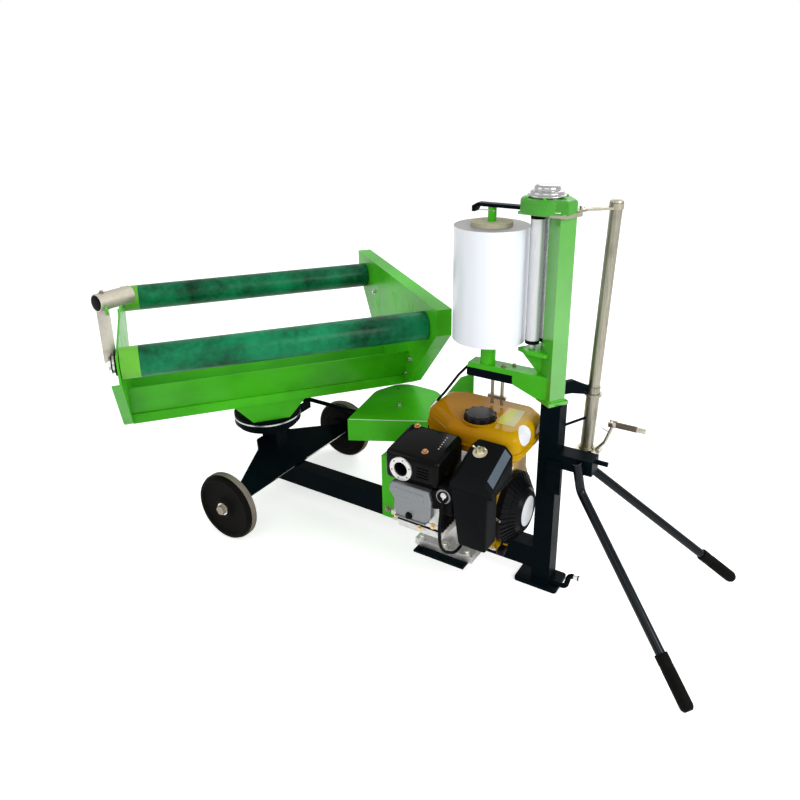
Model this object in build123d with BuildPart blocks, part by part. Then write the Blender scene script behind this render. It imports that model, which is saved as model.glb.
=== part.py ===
"""Small round-bale wrapper: a T-shaped base on two solid wheels, a turntable cradle with two
bale rollers, a petrol engine, and a post that carries the stretch-film dispenser.

Origin: under the middle of the post, on the floor. +X points away from the wheels towards the
push handles, +Y away from the side with the engine's muffler, +Z up. Millimetres."""

import os
from math import cos, radians, sin

from build123d import *

os.makedirs("parts", exist_ok=True)

# Base
axle_to_post = 765.0
post_side = 44.0
post_wall = 3.0
post_top = 462.0
foot_length = 104.0
foot_width = 76.0
foot_thickness = 8.0
foot_shift = -7.0
foot_corner = 8.0
hook_wire = 12.0
hook_side = 12.0
hook_reach = 44.0
hook_rise = 34.0
hook_bend = 11.0
beam_width = 44.0
beam_height = 56.0
beam_wall = 3.0
beam_bottom = 40.0
beam_tail = 90.0

# Wheels and their carrier
wheel_diameter = 180.0
wheel_width = 36.0
track_outside = 545.0
hub_bore = 8.05
pin_radius = 8.0
pin_head = 13.0
pin_head_height = 9.0
washer_radius = 16.0
washer_thickness = 2.5
lug_gap = 4.0
face_gap = 0.3
lug_thickness = 6.0
lug_width = 40.0
lug_bottom = 70.0
lug_top = 128.0
plate_thickness = 6.0
plate_slope = 31.0
plate_front = 27.0
plate_sink = 2.0
plate_rear = 85.0
plate_end_width = 34.0
plate_shoulder = 68.0
plate_tip_half = 48.0
plate_waist = 0.8
pedestal_length = 54.0
pedestal_width = 44.0
pedestal_wall = 4.0

# Turntable
turntable_behind_axle = 79.0
turntable_angle = 51.1
housing_bottom = 205.0
housing_step = 10.0
housing_height = 29.0
housing_radius = 93.0
housing_lower_radius = 84.0
rim_width = 14.0
rim_thickness = 4.0
spindle_radius = 30.0
spindle_fit = 0.05
table_gap = 2.0
table_thickness = 6.0
table_radius = 93.0
saddle_sheet = 5.0
saddle_side = 77.0
saddle_top_half = 100.0
saddle_bottom_half = 50.0

# Cradle, seen along its rollers: offsets are from the turntable's axis
trough_bottom = 297.0
trough_half_width = 88.0
trough_lip = 25.0
trough_top = 416.0
trough_top_half_width = 140.0
trough_wall = 4.0
panel_tuck = 10.0
right_plate = 380.0
left_plate = 352.0
end_sheet = 5.0
right_flange = 40.0
left_flange = 22.0
right_end_rise = 62.0
left_end_rise = 28.0
right_side_margin = 78.0
left_side_margin = 38.0
right_side_drop = 5.0
left_side_drop = 39.0
end_foot_side = 127.0
end_foot_height = 318.0
end_bottom_side = 80.0
end_bottom = 294.0

# Bale rollers
roller_offset = 267.0
roller_height = 532.0
roller_radius = 36.5
sleeve_thickness = 1.5
roller_wall = 3.0
roller_cap = 6.0
collar_length = 41.0
roller_end_gap = 2.0
axle_radius = 8.0
axle_fit = 0.05
axle_nut_radius = 13.0
axle_nut_height = 9.0
axle_washer_radius = 20.0
axle_washer_height = 5.0

# Film clamp on the left end of the cradle
clamp_inset = 17.0
clamp_strap_width = 27.0
clamp_strap_thickness = 5.0
clamp_eye_radius = 27.0
clamp_bar_rise = 144.0
clamp_fin_width = 26.0
clamp_fin_height = 34.0
clamp_bar_radius = 20.0
clamp_bar_length = 84.0
clamp_bar_overhang = 26.0
clamp_bar_turn = 35.6

# Drive shaft to the turntable and its bracket
shaft_offset = 117.0
shaft_height = 238.0
shaft_radius = 6.0
shaft_start = 45.0
shaft_bracket_thickness = 6.0
shaft_lug = 13.0
shaft_lug_drop = 33.0
shaft_bracket_grip = 26.0
shaft_tail = 22.0
shaft_collar = 12.0

# Drive guard
guard_bottom = 218.0
guard_top = 280.0
guard_wall = 3.0
guard_leg_start = -437.0
guard_leg_end = -345.0
guard_leg_wall = 5.0
guard_shelf_rear = 140.0
guard_corner = 58.0
cover_offset = 104.0
guard_leg_foot = 3.0

# Engine: starts and ends run along the beam, fronts and rears across it
engine_plate_thickness = 5.0
engine_plate_start = -250.0
engine_plate_end = -122.0
engine_front = -180.0
engine_rear = 58.0
crankcase_start = -258.0
crankcase_end = -112.0
crankcase_front = -130.0
crankcase_rear = 40.0
crankcase_top = 268.0
crank_offset = -50.0
crank_height = 207.0
crankcase_edge = 18.0
crankcase_foot_front = -158.0
crankcase_foot_height = 17.0
cylinder_start = -264.0
cylinder_end = -152.0
cylinder_front = -236.0
cylinder_rear = -90.0
cylinder_bottom = 216.0
cylinder_top = 300.0
rocker_cover_depth = 16.0
muffler_start = -288.0
muffler_end = -154.0
muffler_front = -236.0
muffler_rear = -122.0
muffler_bottom = 309.0
muffler_front_top = 378.0
muffler_rear_top = 397.0
muffler_edge = 9.0
muffler_neck_width = 56.0
muffler_neck_depth = 50.0
outlet_x = -244.0
outlet_height = 344.0
outlet_radius = 27.0
outlet_bore = 16.5
outlet_thickness = 4.0
outlet_depth = 22.0
cleaner_start = -128.0
cleaner_end = -32.0
cleaner_front = -240.0
cleaner_rear = -136.0
cleaner_bottom = 305.0
cleaner_front_top = 366.0
cleaner_rear_top = 408.0
cleaner_bevel = 17.0
intake_start = -106.0
intake_end = -38.0
intake_rear = -194.0
intake_bottom = 205.0
carburettor_gap = 2.0
carburettor_depth = 32.0
carburettor_bottom = 232.0
carburettor_neck_height = 40.0
tank_bottom = 350.0
tank_top = 415.0
tank_edge = 30.0
tank_crown = 24.0
tank_seam_height = 368.0
tank_seam_width = 4.0
tank_seam_thickness = 4.0
tank_cap_x = -144.0
tank_cap_offset = -66.0
tank_cap_radius = 34.0
tank_cap_height = 15.0
tank_stay_width = 24.0
tank_stay_inset = 20.0
tank_stay_front = -40.0
tank_stay_rear = 20.0
blower_radius = 106.0
blower_neck_width = 159.0
blower_neck_shift = 8.0
blower_end = -72.0
starter_radius = 84.0
starter_rim = 14.0
starter_face_radius = 46.0
starter_face_edge = 7.0
starter_end = -28.0
lead_radius = 3.5
cable_radius = 3.0

# Film dispenser
column_shift = -6.0
column_side = 38.0
column_wall = 3.0
column_turn = -35.0
column_flange = 8.0
column_flange_side = 50.0
column_top = 866.0
top_plate_thickness = 6.0
gearbox_shift = -42.0
gearbox_radius = 52.0
gearbox_height = 28.0
gearbox_edge = 7.0
dome_radius = 36.0
dome_height = 25.0
dome_step = 9.0
dome_crown_radius = 26.0
roll_offset = 160.0
roll_height = 250.0
roll_radius = 80.5
roll_bottom = 583.5
roll_core_radius = 38.0
roll_core_wall = 4.0
core_cap_thickness = 8.0
core_cap_radius = 44.0
core_cap_gap = 2.0
film_spindle_radius = 9.0
film_spindle_fit = 0.05
spindle_collar_radius = 17.0
arm_top = 523.0
arm_sheet = 12.0
arm_half_width = 19.0
arm_bar_start = -92.0
arm_bar_height = 20.0
arm_overhang = 43.0
upper_arm_width = 20.0
upper_arm_thickness = 7.0
upper_arm_hook = 12.0
stretch_radius = 15.0
stretch_bottom = 590.0
stretch_gap = 2.0
stretch_pin_radius = 5.0
stretch_pin_fit = 0.05
stretch_plate_bottom = 568.0
stretch_plate_thickness = 8.0
stretch_gusset_start = -82.0
stretch_gusset_foot = -40.0
stretch_gusset_half = 3.0
rod_radius = 4.0
rod_gap = 5.0
rod_bar_rise = 14.0
rod_bar_height = 8.0
rod_bar_margin = 10.0

# Lever tube beside the column, and its levers
lever_foot_x = 52.0
lever_top_x = 72.0
lever_offset = 88.0
lever_radius = 12.5
lever_wall = 2.0
lever_bottom = 326.0
lever_joint = 480.0
lever_sleeve_radius = 14.5
lever_ring_height = 459.0
lever_ring_radius = 19.0
lever_ring_thickness = 5.0
stay_thickness = 5.0
stay_height = 28.0
stay_width = 10.0
stay_rise = 12.0
link_radius = 3.0
link_height = 404.0
hand_rod_radius = 4.0
hand_bar_radius = 6.0
hand_bar_length = 76.0
hand_start = 22.0
hand_bend_run = 18.0
hand_bend_rise = 24.0
hand_bend_radius = 24.0
hand_run = 34.0
hand_rise = 72.0

# Push handles: each runs from the bracket down to a grip on the floor
handle_radius = 10.0
handle_wall = 2.0
grip_radius = 13.5
grip_length = 105.0
bracket_length = 78.0
bracket_bottom = 318.0
bracket_top = 352.0
bracket_half_width = 22.0
bracket_wall = 4.0
bracket_pin_radius = 5.5
bracket_pin_length = 24.0
gusset_bottom = 254.0
gusset_thickness = 4.0
gusset_overhang = 12.0
handle_pin_x = 74.0
handle_pin_height = 332.0
handle_pin_radius = 9.0
handle_side = 33.0
handle_bend = 30.0
handle_top_back = 4.0
handle_knee_out = 10.0
handle_floor = 14.0

turntable_x = -axle_to_post - turntable_behind_axle
beam_top = beam_bottom + beam_height
axle_height = wheel_diameter / 2
clamp_offset = roller_offset - clamp_inset
clamp_bar_height = roller_height + clamp_bar_rise
arm_reach = roll_offset + arm_overhang

# Planes of the cradle: its long axis is turned from the beam's by the turntable's angle
along = Vector(cos(radians(turntable_angle)), sin(radians(turntable_angle)), 0)
across = Vector(-sin(radians(turntable_angle)), cos(radians(turntable_angle)), 0)
cradle_plane = Plane(origin=(turntable_x, 0, 0), x_dir=along, z_dir=(0, 0, 1))


def cradle_section(station):
    """Plane square to the rollers: local x runs across the cradle and local y is height."""
    place = Vector(turntable_x, 0, 0) + along * station
    return Plane(origin=place, x_dir=across, z_dir=along)


def cradle_side(away):
    """Upright plane along the rollers: local x runs along the cradle and local y is height."""
    place = Vector(turntable_x, 0, 0) + across * away
    return Plane(origin=place, x_dir=along, z_dir=-across)


def block(start, end, front, rear, bottom, top):
    """Box between two stations along the beam, two across it and two heights."""
    with Locations(((start + end) / 2, (front + rear) / 2, (bottom + top) / 2)):
        return Box(end - start, rear - front, top - bottom)


# Base: main beam, post and foot
with BuildPart() as base_beam:
    with BuildSketch(Plane.YZ.offset(-axle_to_post - beam_tail)):
        with Locations((0, beam_bottom + beam_height / 2)):
            Rectangle(beam_width, beam_height)
    extrude(amount=axle_to_post + beam_tail - post_side / 2)
    with BuildSketch(Plane.YZ.offset(-axle_to_post - beam_tail + beam_wall)):
        with Locations((0, beam_bottom + beam_height / 2)):
            Rectangle(beam_width - 2 * beam_wall, beam_height - 2 * beam_wall)
    extrude(amount=axle_to_post + beam_tail - post_side / 2 - beam_wall, mode=Mode.SUBTRACT)
base_beam.part.label = "base_beam"
export_step(base_beam.part, "parts/base_beam.step")

with BuildPart() as post:
    with BuildSketch(Plane.XY.offset(foot_thickness)):
        Rectangle(post_side, post_side)
        Rectangle(post_side - 2 * post_wall, post_side - 2 * post_wall, mode=Mode.SUBTRACT)
    extrude(amount=post_top - foot_thickness)
post.part.label = "post"
export_step(post.part, "parts/post.step")

with BuildPart() as post_foot:
    with BuildSketch(Plane.XY):
        with Locations((foot_shift, 0)):
            Rectangle(foot_length, foot_width)
    extrude(amount=foot_thickness)
    fillet(post_foot.edges().filter_by(Axis.Z), foot_corner)
foot_end = foot_shift + foot_length / 2
hook_low = foot_thickness + hook_wire / 4
with BuildLine(Plane.XZ.offset(hook_side)) as hook_path:
    FilletPolyline(
        (foot_end - hook_reach / 2, hook_low),
        (foot_end + hook_reach / 3, hook_low),
        (foot_end + hook_reach / 2, hook_low + hook_rise),
        (foot_end + hook_reach, hook_low + hook_rise),
        radius=hook_bend,
    )
with post_foot:
    with BuildSketch(Plane(origin=hook_path.line @ 0, z_dir=hook_path.line % 0)):
        Circle(hook_wire / 2)
    sweep(path=hook_path.line)
post_foot.part.label = "post_foot"
export_step(post_foot.part, "parts/post_foot.step")

# Wheel carrier: a sloping plate across the beam, with a lug and a pin at each end
slope_plane = Plane(
    origin=(-axle_to_post + plate_front, 0, beam_top - plate_sink),
    x_dir=(-cos(radians(plate_slope)), 0, sin(radians(plate_slope))),
    z_dir=(sin(radians(plate_slope)), 0, cos(radians(plate_slope))),
)
wheel_inside = track_outside / 2 - wheel_width
plate_half = wheel_inside - lug_gap - lug_thickness
slope_run = (plate_front + plate_rear) / cos(radians(plate_slope))
pedestal_rear = -axle_to_post - plate_rear
with BuildPart() as axle_frame:
    with BuildSketch(slope_plane):
        # Columns: distance up the slope, half width
        corners = [
            (0, plate_half),
            (plate_end_width, plate_half),
            (slope_run * plate_waist, plate_shoulder),
            (slope_run, plate_tip_half),
        ]
        Polygon(*corners, *[(run, -half) for run, half in reversed(corners)], align=None)
    extrude(amount=plate_thickness)
    for sign in (-1, 1):
        with BuildSketch(Plane.XZ.offset(-sign * plate_half)):
            with Locations((-axle_to_post, (lug_bottom + lug_top) / 2)):
                Rectangle(lug_width, lug_top - lug_bottom)
        extrude(amount=-sign * lug_thickness)
    with BuildSketch(Plane.XZ.offset(-plate_half - lug_thickness)):
        with Locations((-axle_to_post, axle_height)):
            Circle(pin_radius)
    extrude(amount=2 * (plate_half + lug_thickness), mode=Mode.SUBTRACT)
    with BuildSketch(Plane.XY.offset(beam_bottom)):
        with Locations((pedestal_rear, 0)):
            Rectangle(2 * pedestal_length, pedestal_width)
    extrude(amount=housing_bottom - beam_bottom, mode=Mode.SUBTRACT)
    with BuildSketch(Plane.XY.offset(beam_bottom)):
        with Locations((-axle_to_post, 0)):
            Rectangle(2 * beam_tail, beam_width)
    extrude(amount=beam_height, mode=Mode.SUBTRACT)
axle_frame.part.label = "axle_frame"
export_step(axle_frame.part, "parts/axle_frame.step")

with BuildPart() as pedestal:
    with BuildSketch(Plane.XY.offset(beam_top)):
        with Locations((pedestal_rear + pedestal_length / 2, 0)):
            Rectangle(pedestal_length, pedestal_width)
            Rectangle(
                pedestal_length - 2 * pedestal_wall,
                pedestal_width - 2 * pedestal_wall,
                mode=Mode.SUBTRACT,
            )
    extrude(amount=housing_bottom - beam_top)
pedestal.part.label = "pedestal"
export_step(pedestal.part, "parts/pedestal.step")

head_start = track_outside / 2 + face_gap
with BuildPart() as wheel_pins:
    for sign in (-1, 1):
        with BuildSketch(Plane.XZ.offset(-sign * plate_half)):
            with Locations((-axle_to_post, axle_height)):
                Circle(pin_radius)
        extrude(amount=-sign * (head_start + washer_thickness - plate_half))
        with BuildSketch(Plane.XZ.offset(-sign * head_start)):
            with Locations((-axle_to_post, axle_height)):
                Circle(washer_radius)
        extrude(amount=-sign * washer_thickness)
        with BuildSketch(Plane.XZ.offset(-sign * (head_start + washer_thickness))):
            with Locations((-axle_to_post, axle_height)):
                RegularPolygon(pin_head, 6)
        extrude(amount=-sign * pin_head_height)
wheel_pins.part.label = "wheel_pins"
export_step(wheel_pins.part, "parts/wheel_pins.step")

for side, sign in (("near", -1), ("far", 1)):
    with BuildPart() as wheel:
        with BuildSketch(Plane.XZ.offset(-sign * track_outside / 2)):
            with Locations((-axle_to_post, axle_height)):
                Circle(wheel_diameter / 2)
                Circle(hub_bore, mode=Mode.SUBTRACT)
        extrude(amount=sign * wheel_width)
    wheel.part.label = f"wheel_{side}"
    export_step(wheel.part, f"parts/wheel_{side}.step")

# Turntable bearing on the pedestal, with its bright rim
housing_top = housing_bottom + housing_height
with BuildPart() as bearing_housing:
    with BuildSketch(Plane.XY.offset(housing_bottom)):
        with Locations((turntable_x, 0)):
            Circle(housing_lower_radius)
    extrude(amount=housing_step)
    with BuildSketch(Plane.XY.offset(housing_bottom + housing_step)):
        with Locations((turntable_x, 0)):
            Circle(housing_radius)
    extrude(amount=housing_height - housing_step)
    with BuildSketch(Plane.XY.offset(housing_top)):
        with Locations((turntable_x, 0)):
            Circle(housing_radius)
            Circle(housing_radius - rim_width, mode=Mode.SUBTRACT)
    extrude(amount=-rim_thickness, mode=Mode.SUBTRACT)
    with BuildSketch(Plane.XY.offset(housing_top)):
        with Locations((turntable_x, 0)):
            Circle(spindle_radius + spindle_fit)
    extrude(amount=-housing_height, mode=Mode.SUBTRACT)
bearing_housing.part.label = "bearing_housing"
export_step(bearing_housing.part, "parts/bearing_housing.step")

with BuildPart() as bearing_rim:
    with BuildSketch(Plane.XY.offset(housing_top - rim_thickness)):
        with Locations((turntable_x, 0)):
            Circle(housing_radius)
            Circle(housing_radius - rim_width, mode=Mode.SUBTRACT)
    extrude(amount=rim_thickness)
bearing_rim.part.label = "bearing_rim"
export_step(bearing_rim.part, "parts/bearing_rim.step")

table_bottom = housing_top + table_gap
table_top = table_bottom + table_thickness
with BuildPart() as table:
    with BuildSketch(cradle_plane.offset(table_bottom)):
        Circle(table_radius)
    extrude(amount=table_thickness)
    with BuildSketch(cradle_plane.offset(table_bottom)):
        Circle(spindle_radius)
    extrude(amount=-(housing_height - table_gap))
table.part.label = "table"
export_step(table.part, "parts/table.step")

# Saddle between the table and the cradle: four leaning sheets around a hollow
saddle_outline = [
    (-saddle_top_half, trough_bottom),
    (-saddle_bottom_half, table_top),
    (saddle_bottom_half, table_top),
    (saddle_top_half, trough_bottom),
]
saddle_inside = [
    (-saddle_top_half + saddle_sheet, trough_bottom),
    (-saddle_bottom_half + saddle_sheet, table_top),
    (saddle_bottom_half - saddle_sheet, table_top),
    (saddle_top_half - saddle_sheet, trough_bottom),
]
with BuildPart() as saddle:
    with BuildSketch(cradle_side(-saddle_side)):
        Polygon(*saddle_outline, align=None)
    extrude(amount=-2 * saddle_side)
    with BuildSketch(cradle_side(-saddle_side + saddle_sheet)):
        Polygon(*saddle_inside, align=None)
    extrude(amount=-2 * (saddle_side - saddle_sheet), mode=Mode.SUBTRACT)
saddle.part.label = "saddle"
export_step(saddle.part, "parts/saddle.step")

# Cradle: a trough of three sheets between two end plates
trough_length = right_plate + left_plate
with BuildPart() as trough_floor:
    with BuildSketch(cradle_section(-left_plate)):
        with Locations((0, trough_bottom + trough_lip / 2)):
            Rectangle(2 * trough_half_width, trough_lip)
        with Locations((0, trough_bottom + trough_wall + trough_lip / 2)):
            Rectangle(2 * (trough_half_width - trough_wall), trough_lip, mode=Mode.SUBTRACT)
    extrude(amount=trough_length)
trough_floor.part.label = "trough_floor"
export_step(trough_floor.part, "parts/trough_floor.step")

lip_top = trough_bottom + trough_lip
with BuildPart() as trough_sides:
    for sign in (-1, 1):
        with BuildSketch(cradle_section(-left_plate)):
            Polygon(
                (sign * (trough_half_width - 2 * trough_wall), lip_top - panel_tuck),
                (sign * (trough_half_width - trough_wall), lip_top - panel_tuck),
                (sign * (trough_half_width - trough_wall), lip_top),
                (sign * trough_top_half_width, trough_top),
                (sign * (trough_top_half_width - trough_wall), trough_top),
                (sign * (trough_half_width - 2 * trough_wall), lip_top),
                align=None,
            )
        extrude(amount=trough_length)
trough_sides.part.label = "trough_sides"
export_step(trough_sides.part, "parts/trough_sides.step")

# Columns: offset across, height; each outline is mirrored to the other side
right_outline = [
    (roller_offset + right_side_margin, roller_height + right_end_rise),
    (roller_offset + right_side_margin, roller_height - right_side_drop),
    (end_foot_side, end_foot_height),
    (end_bottom_side, end_bottom),
]
left_outline = [
    (roller_offset + left_side_margin, roller_height + left_end_rise),
    (roller_offset + left_side_margin, roller_height - left_side_drop),
    (end_foot_side, end_foot_height),
    (end_bottom_side, end_bottom),
]
roller_places = [(-roller_offset, roller_height), (roller_offset, roller_height)]
# The left plate has its flange only below the rollers
flange_cut = left_end_rise + left_side_drop
# Columns: side, outline, inner face along the rollers, way out, depth of the flange
pans = (
    ("right", right_outline, right_plate, 1, right_flange),
    ("left", left_outline, -left_plate, -1, left_flange),
)
for side, outline, station, sign, depth in pans:
    mirrored = [(-away, height) for away, height in reversed(outline)]
    with BuildPart() as end_pan:
        with BuildSketch(cradle_section(station)):
            Polygon(*outline, *mirrored, align=None)
            with Locations(*roller_places):
                Circle(axle_radius, mode=Mode.SUBTRACT)
        extrude(amount=sign * end_sheet)
        with BuildSketch(cradle_section(station + sign * end_sheet)):
            Polygon(*outline, *mirrored, align=None)
            offset(amount=-end_sheet, kind=Kind.INTERSECTION, mode=Mode.SUBTRACT)
            if side == "left":
                with Locations((0, roller_height + left_end_rise)):
                    Rectangle(3 * roller_offset, 2 * flange_cut, mode=Mode.SUBTRACT)
        extrude(amount=sign * (depth - end_sheet))
    end_pan.part.label = f"end_pan_{side}"
    export_step(end_pan.part, f"parts/end_pan_{side}.step")

# Bale rollers: a drum with a rubber sleeve on most of its length, turning on a fixed rod
drum_radius = roller_radius - sleeve_thickness
drum_start = -left_plate + roller_end_gap
drum_end = right_plate - roller_end_gap
sleeve_start = drum_start + collar_length
for side, sign in (("front", -1), ("rear", 1)):
    place = (sign * roller_offset, roller_height)
    with BuildPart() as roller:
        with BuildSketch(cradle_section(drum_start)):
            with Locations(place):
                Circle(drum_radius)
                Circle(axle_radius + axle_fit, mode=Mode.SUBTRACT)
        extrude(amount=drum_end - drum_start)
        with BuildSketch(cradle_section(drum_start + roller_cap)):
            with Locations(place):
                Circle(drum_radius - roller_wall)
        extrude(amount=drum_end - drum_start - 2 * roller_cap, mode=Mode.SUBTRACT)
        with BuildSketch(cradle_section(drum_start)):
            with Locations(place):
                Circle(roller_radius)
                Circle(drum_radius - roller_wall / 2, mode=Mode.SUBTRACT)
        extrude(amount=collar_length)
    roller.part.label = f"roller_{side}"
    export_step(roller.part, f"parts/roller_{side}.step")

    with BuildPart() as sleeve:
        with BuildSketch(cradle_section(sleeve_start)):
            with Locations(place):
                Circle(roller_radius)
                Circle(drum_radius, mode=Mode.SUBTRACT)
        extrude(amount=drum_end - sleeve_start)
    sleeve.part.label = f"roller_sleeve_{side}"
    export_step(sleeve.part, f"parts/roller_sleeve_{side}.step")

# Columns: place of the rod, thickness of the strap under its left washer
rods = (
    (roller_places[0], clamp_strap_thickness),
    (roller_places[1], 0.0),
)
with BuildPart() as roller_rods:
    for place, strap in rods:
        rod_start = -left_plate - end_sheet - strap - axle_washer_height - axle_nut_height
        rod_end = right_plate + end_sheet + axle_washer_height + axle_nut_height
        with BuildSketch(cradle_section(rod_start)):
            with Locations(place):
                Circle(axle_radius)
        extrude(amount=rod_end - rod_start)
        for station, away in ((rod_start + axle_nut_height, -1), (rod_end - axle_nut_height, 1)):
            with BuildSketch(cradle_section(station)):
                with Locations(place):
                    RegularPolygon(axle_nut_radius, 6)
            extrude(amount=away * axle_nut_height)
            with BuildSketch(cradle_section(station)):
                with Locations(place):
                    Circle(axle_washer_radius)
            extrude(amount=-away * axle_washer_height)
roller_rods.part.label = "roller_rods"
export_step(roller_rods.part, "parts/roller_rods.step")

# Film clamp: a strap up the left end plate that carries a short round bar
strap_station = -left_plate - end_sheet
bar_plane = Plane(
    origin=Vector(turntable_x, 0, clamp_bar_height)
    + along * (strap_station - clamp_strap_thickness / 2)
    - across * clamp_offset,
    z_dir=along * cos(radians(clamp_bar_turn)) + across * sin(radians(clamp_bar_turn)),
)
with BuildPart() as clamp_bar:
    with BuildSketch(bar_plane.offset(-clamp_bar_overhang)):
        Circle(clamp_bar_radius)
    extrude(amount=clamp_bar_length)
clamp_bar.part.label = "clamp_bar"
export_step(clamp_bar.part, "parts/clamp_bar.step")

with BuildPart() as clamp_strap:
    with BuildSketch(cradle_section(strap_station)):
        with Locations((-clamp_offset, (roller_height + clamp_bar_height) / 2)):
            Rectangle(clamp_strap_width, clamp_bar_height - roller_height)
        with Locations(roller_places[0]):
            Circle(clamp_eye_radius)
            Circle(axle_radius, mode=Mode.SUBTRACT)
        Polygon(
            (-clamp_offset, clamp_bar_height),
            (-clamp_offset - clamp_fin_width, clamp_bar_height),
            (-clamp_offset, clamp_bar_height - clamp_fin_height),
            align=None,
        )
    extrude(amount=-clamp_strap_thickness)
    add(clamp_bar.part, mode=Mode.SUBTRACT)
clamp_strap.part = clamp_strap.part.solids().sort_by(SortBy.VOLUME)[-1]
clamp_strap.part.label = "clamp_strap"
export_step(clamp_strap.part, "parts/clamp_strap.step")

# Drive guard over the belt, its leg on the beam, and the shaft to the turntable
# Columns: along the beam, across it
guard_corners = [
    (-560.0, 0.0),
    (-350.0, 108.0),
    (-372.0, 200.0),
    (-440.0, 277.0),
    (-562.0, 281.0),
    (-598.0, 190.0),
]
# Upright cover beside the belt. Columns: along the beam, height
cover_outline = [
    (-352.0, guard_bottom),
    (-352.0, 328.0),
    (-324.0, 362.0),
    (-282.0, 421.0),
    (-246.0, 440.0),
    (-246.0, guard_bottom),
]
with BuildPart() as drive_guard:
    with BuildSketch(Plane.XY.offset(guard_bottom)) as guard_plan:
        Polygon(*guard_corners, align=None)
        fillet(guard_plan.vertices().sort_by(Axis.Y)[-4:], guard_corner)
    extrude(amount=guard_top - guard_bottom)
    offset(amount=-guard_wall, openings=drive_guard.faces().sort_by(Axis.Z)[0])
    with BuildSketch(Plane.XZ.offset(-cover_offset)):
        Polygon(*cover_outline, align=None)
    extrude(amount=-guard_wall)
    block(
        guard_leg_start,
        guard_leg_end,
        -beam_width / 2 - guard_leg_wall,
        -beam_width / 2,
        beam_bottom + guard_leg_foot,
        guard_bottom + guard_wall,
    )
    block(
        guard_leg_start,
        guard_leg_end,
        -beam_width / 2 - guard_leg_wall,
        guard_shelf_rear,
        guard_bottom - guard_wall,
        guard_bottom + guard_wall,
    )
drive_guard.part.label = "drive_guard"
export_step(drive_guard.part, "parts/drive_guard.step")

# Drive shaft from the guard to the turntable, in a bracket on the bearing housing
bracket_x = turntable_x + shaft_start
with BuildPart() as shaft_bracket:
    with BuildSketch(Plane.YZ.offset(bracket_x)):
        Polygon(
            (housing_radius - shaft_bracket_grip, housing_bottom),
            (shaft_offset + shaft_lug, shaft_height - shaft_lug_drop),
            (shaft_offset + shaft_lug, shaft_height + shaft_lug),
            (shaft_offset - shaft_lug, shaft_height + shaft_lug),
            (shaft_offset - shaft_lug, housing_top - rim_thickness),
            (housing_radius - shaft_bracket_grip, housing_top - rim_thickness),
            align=None,
        )
        with Locations((shaft_offset, shaft_height)):
            Circle(shaft_radius, mode=Mode.SUBTRACT)
    extrude(amount=shaft_bracket_thickness)
    add(bearing_housing.part, mode=Mode.SUBTRACT)
shaft_bracket.part.label = "shaft_bracket"
export_step(shaft_bracket.part, "parts/shaft_bracket.step")

with BuildPart() as drive_shaft:
    with BuildSketch(Plane.YZ.offset(bracket_x - shaft_tail)):
        with Locations((shaft_offset, shaft_height)):
            Circle(shaft_radius)
    extrude(amount=guard_corners[0][0] - bracket_x)
    with BuildSketch(Plane.YZ.offset(bracket_x - shaft_tail)):
        with Locations((shaft_offset, shaft_height)):
            Circle(2 * shaft_radius)
    extrude(amount=shaft_collar)
    add(drive_guard.part, mode=Mode.SUBTRACT)
drive_shaft.part = drive_shaft.part.solids().sort_by(SortBy.VOLUME)[-1]
drive_shaft.part.label = "drive_shaft"
export_step(drive_shaft.part, "parts/drive_shaft.step")

# Engine, its crankshaft along the beam
engine_bottom = beam_top + engine_plate_thickness
with BuildPart() as engine_plate:
    block(
        engine_plate_start, engine_plate_end, engine_front, engine_rear, beam_top, engine_bottom
    )
engine_plate.part.label = "engine_plate"
export_step(engine_plate.part, "parts/engine_plate.step")

with BuildPart() as crankcase:
    block(
        crankcase_start,
        crankcase_end,
        crankcase_front,
        crankcase_rear,
        engine_bottom,
        crankcase_top,
    )
    fillet(crankcase.edges().filter_by(Axis.X), crankcase_edge)
    block(
        cylinder_start,
        cylinder_end,
        cylinder_front,
        cylinder_rear,
        cylinder_bottom,
        cylinder_top,
    )
    block(
        crankcase_start,
        crankcase_end,
        crankcase_foot_front,
        crankcase_rear,
        engine_bottom,
        engine_bottom + crankcase_foot_height,
    )
    stay_starts = (
        crankcase_start + tank_stay_inset,
        crankcase_end - tank_stay_inset - tank_stay_width,
    )
    for start in stay_starts:
        block(
            start,
            start + tank_stay_width,
            tank_stay_front,
            tank_stay_rear,
            crankcase_top - crankcase_edge / 2,
            tank_bottom,
        )
crankcase.part.label = "crankcase"
export_step(crankcase.part, "parts/crankcase.step")

# Columns: along the beam, height
rocker_outline = [
    (-268.0, 293.0),
    (-267.0, 309.0),
    (-260.0, 315.0),
    (-170.0, 316.0),
    (-163.0, 290.0),
    (-165.0, 252.0),
    (-179.0, 235.0),
    (-248.0, 233.0),
    (-257.0, 252.0),
    (-256.0, 277.0),
]
with BuildPart() as rocker_cover:
    with BuildSketch(Plane.XZ.offset(-cylinder_front)):
        Polygon(*rocker_outline, align=None)
    extrude(amount=rocker_cover_depth)
    fillet(rocker_cover.faces().sort_by(Axis.Y)[0].edges(), rocker_cover_depth / 3)
rocker_cover.part.label = "rocker_cover"
export_step(rocker_cover.part, "parts/rocker_cover.step")

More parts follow.
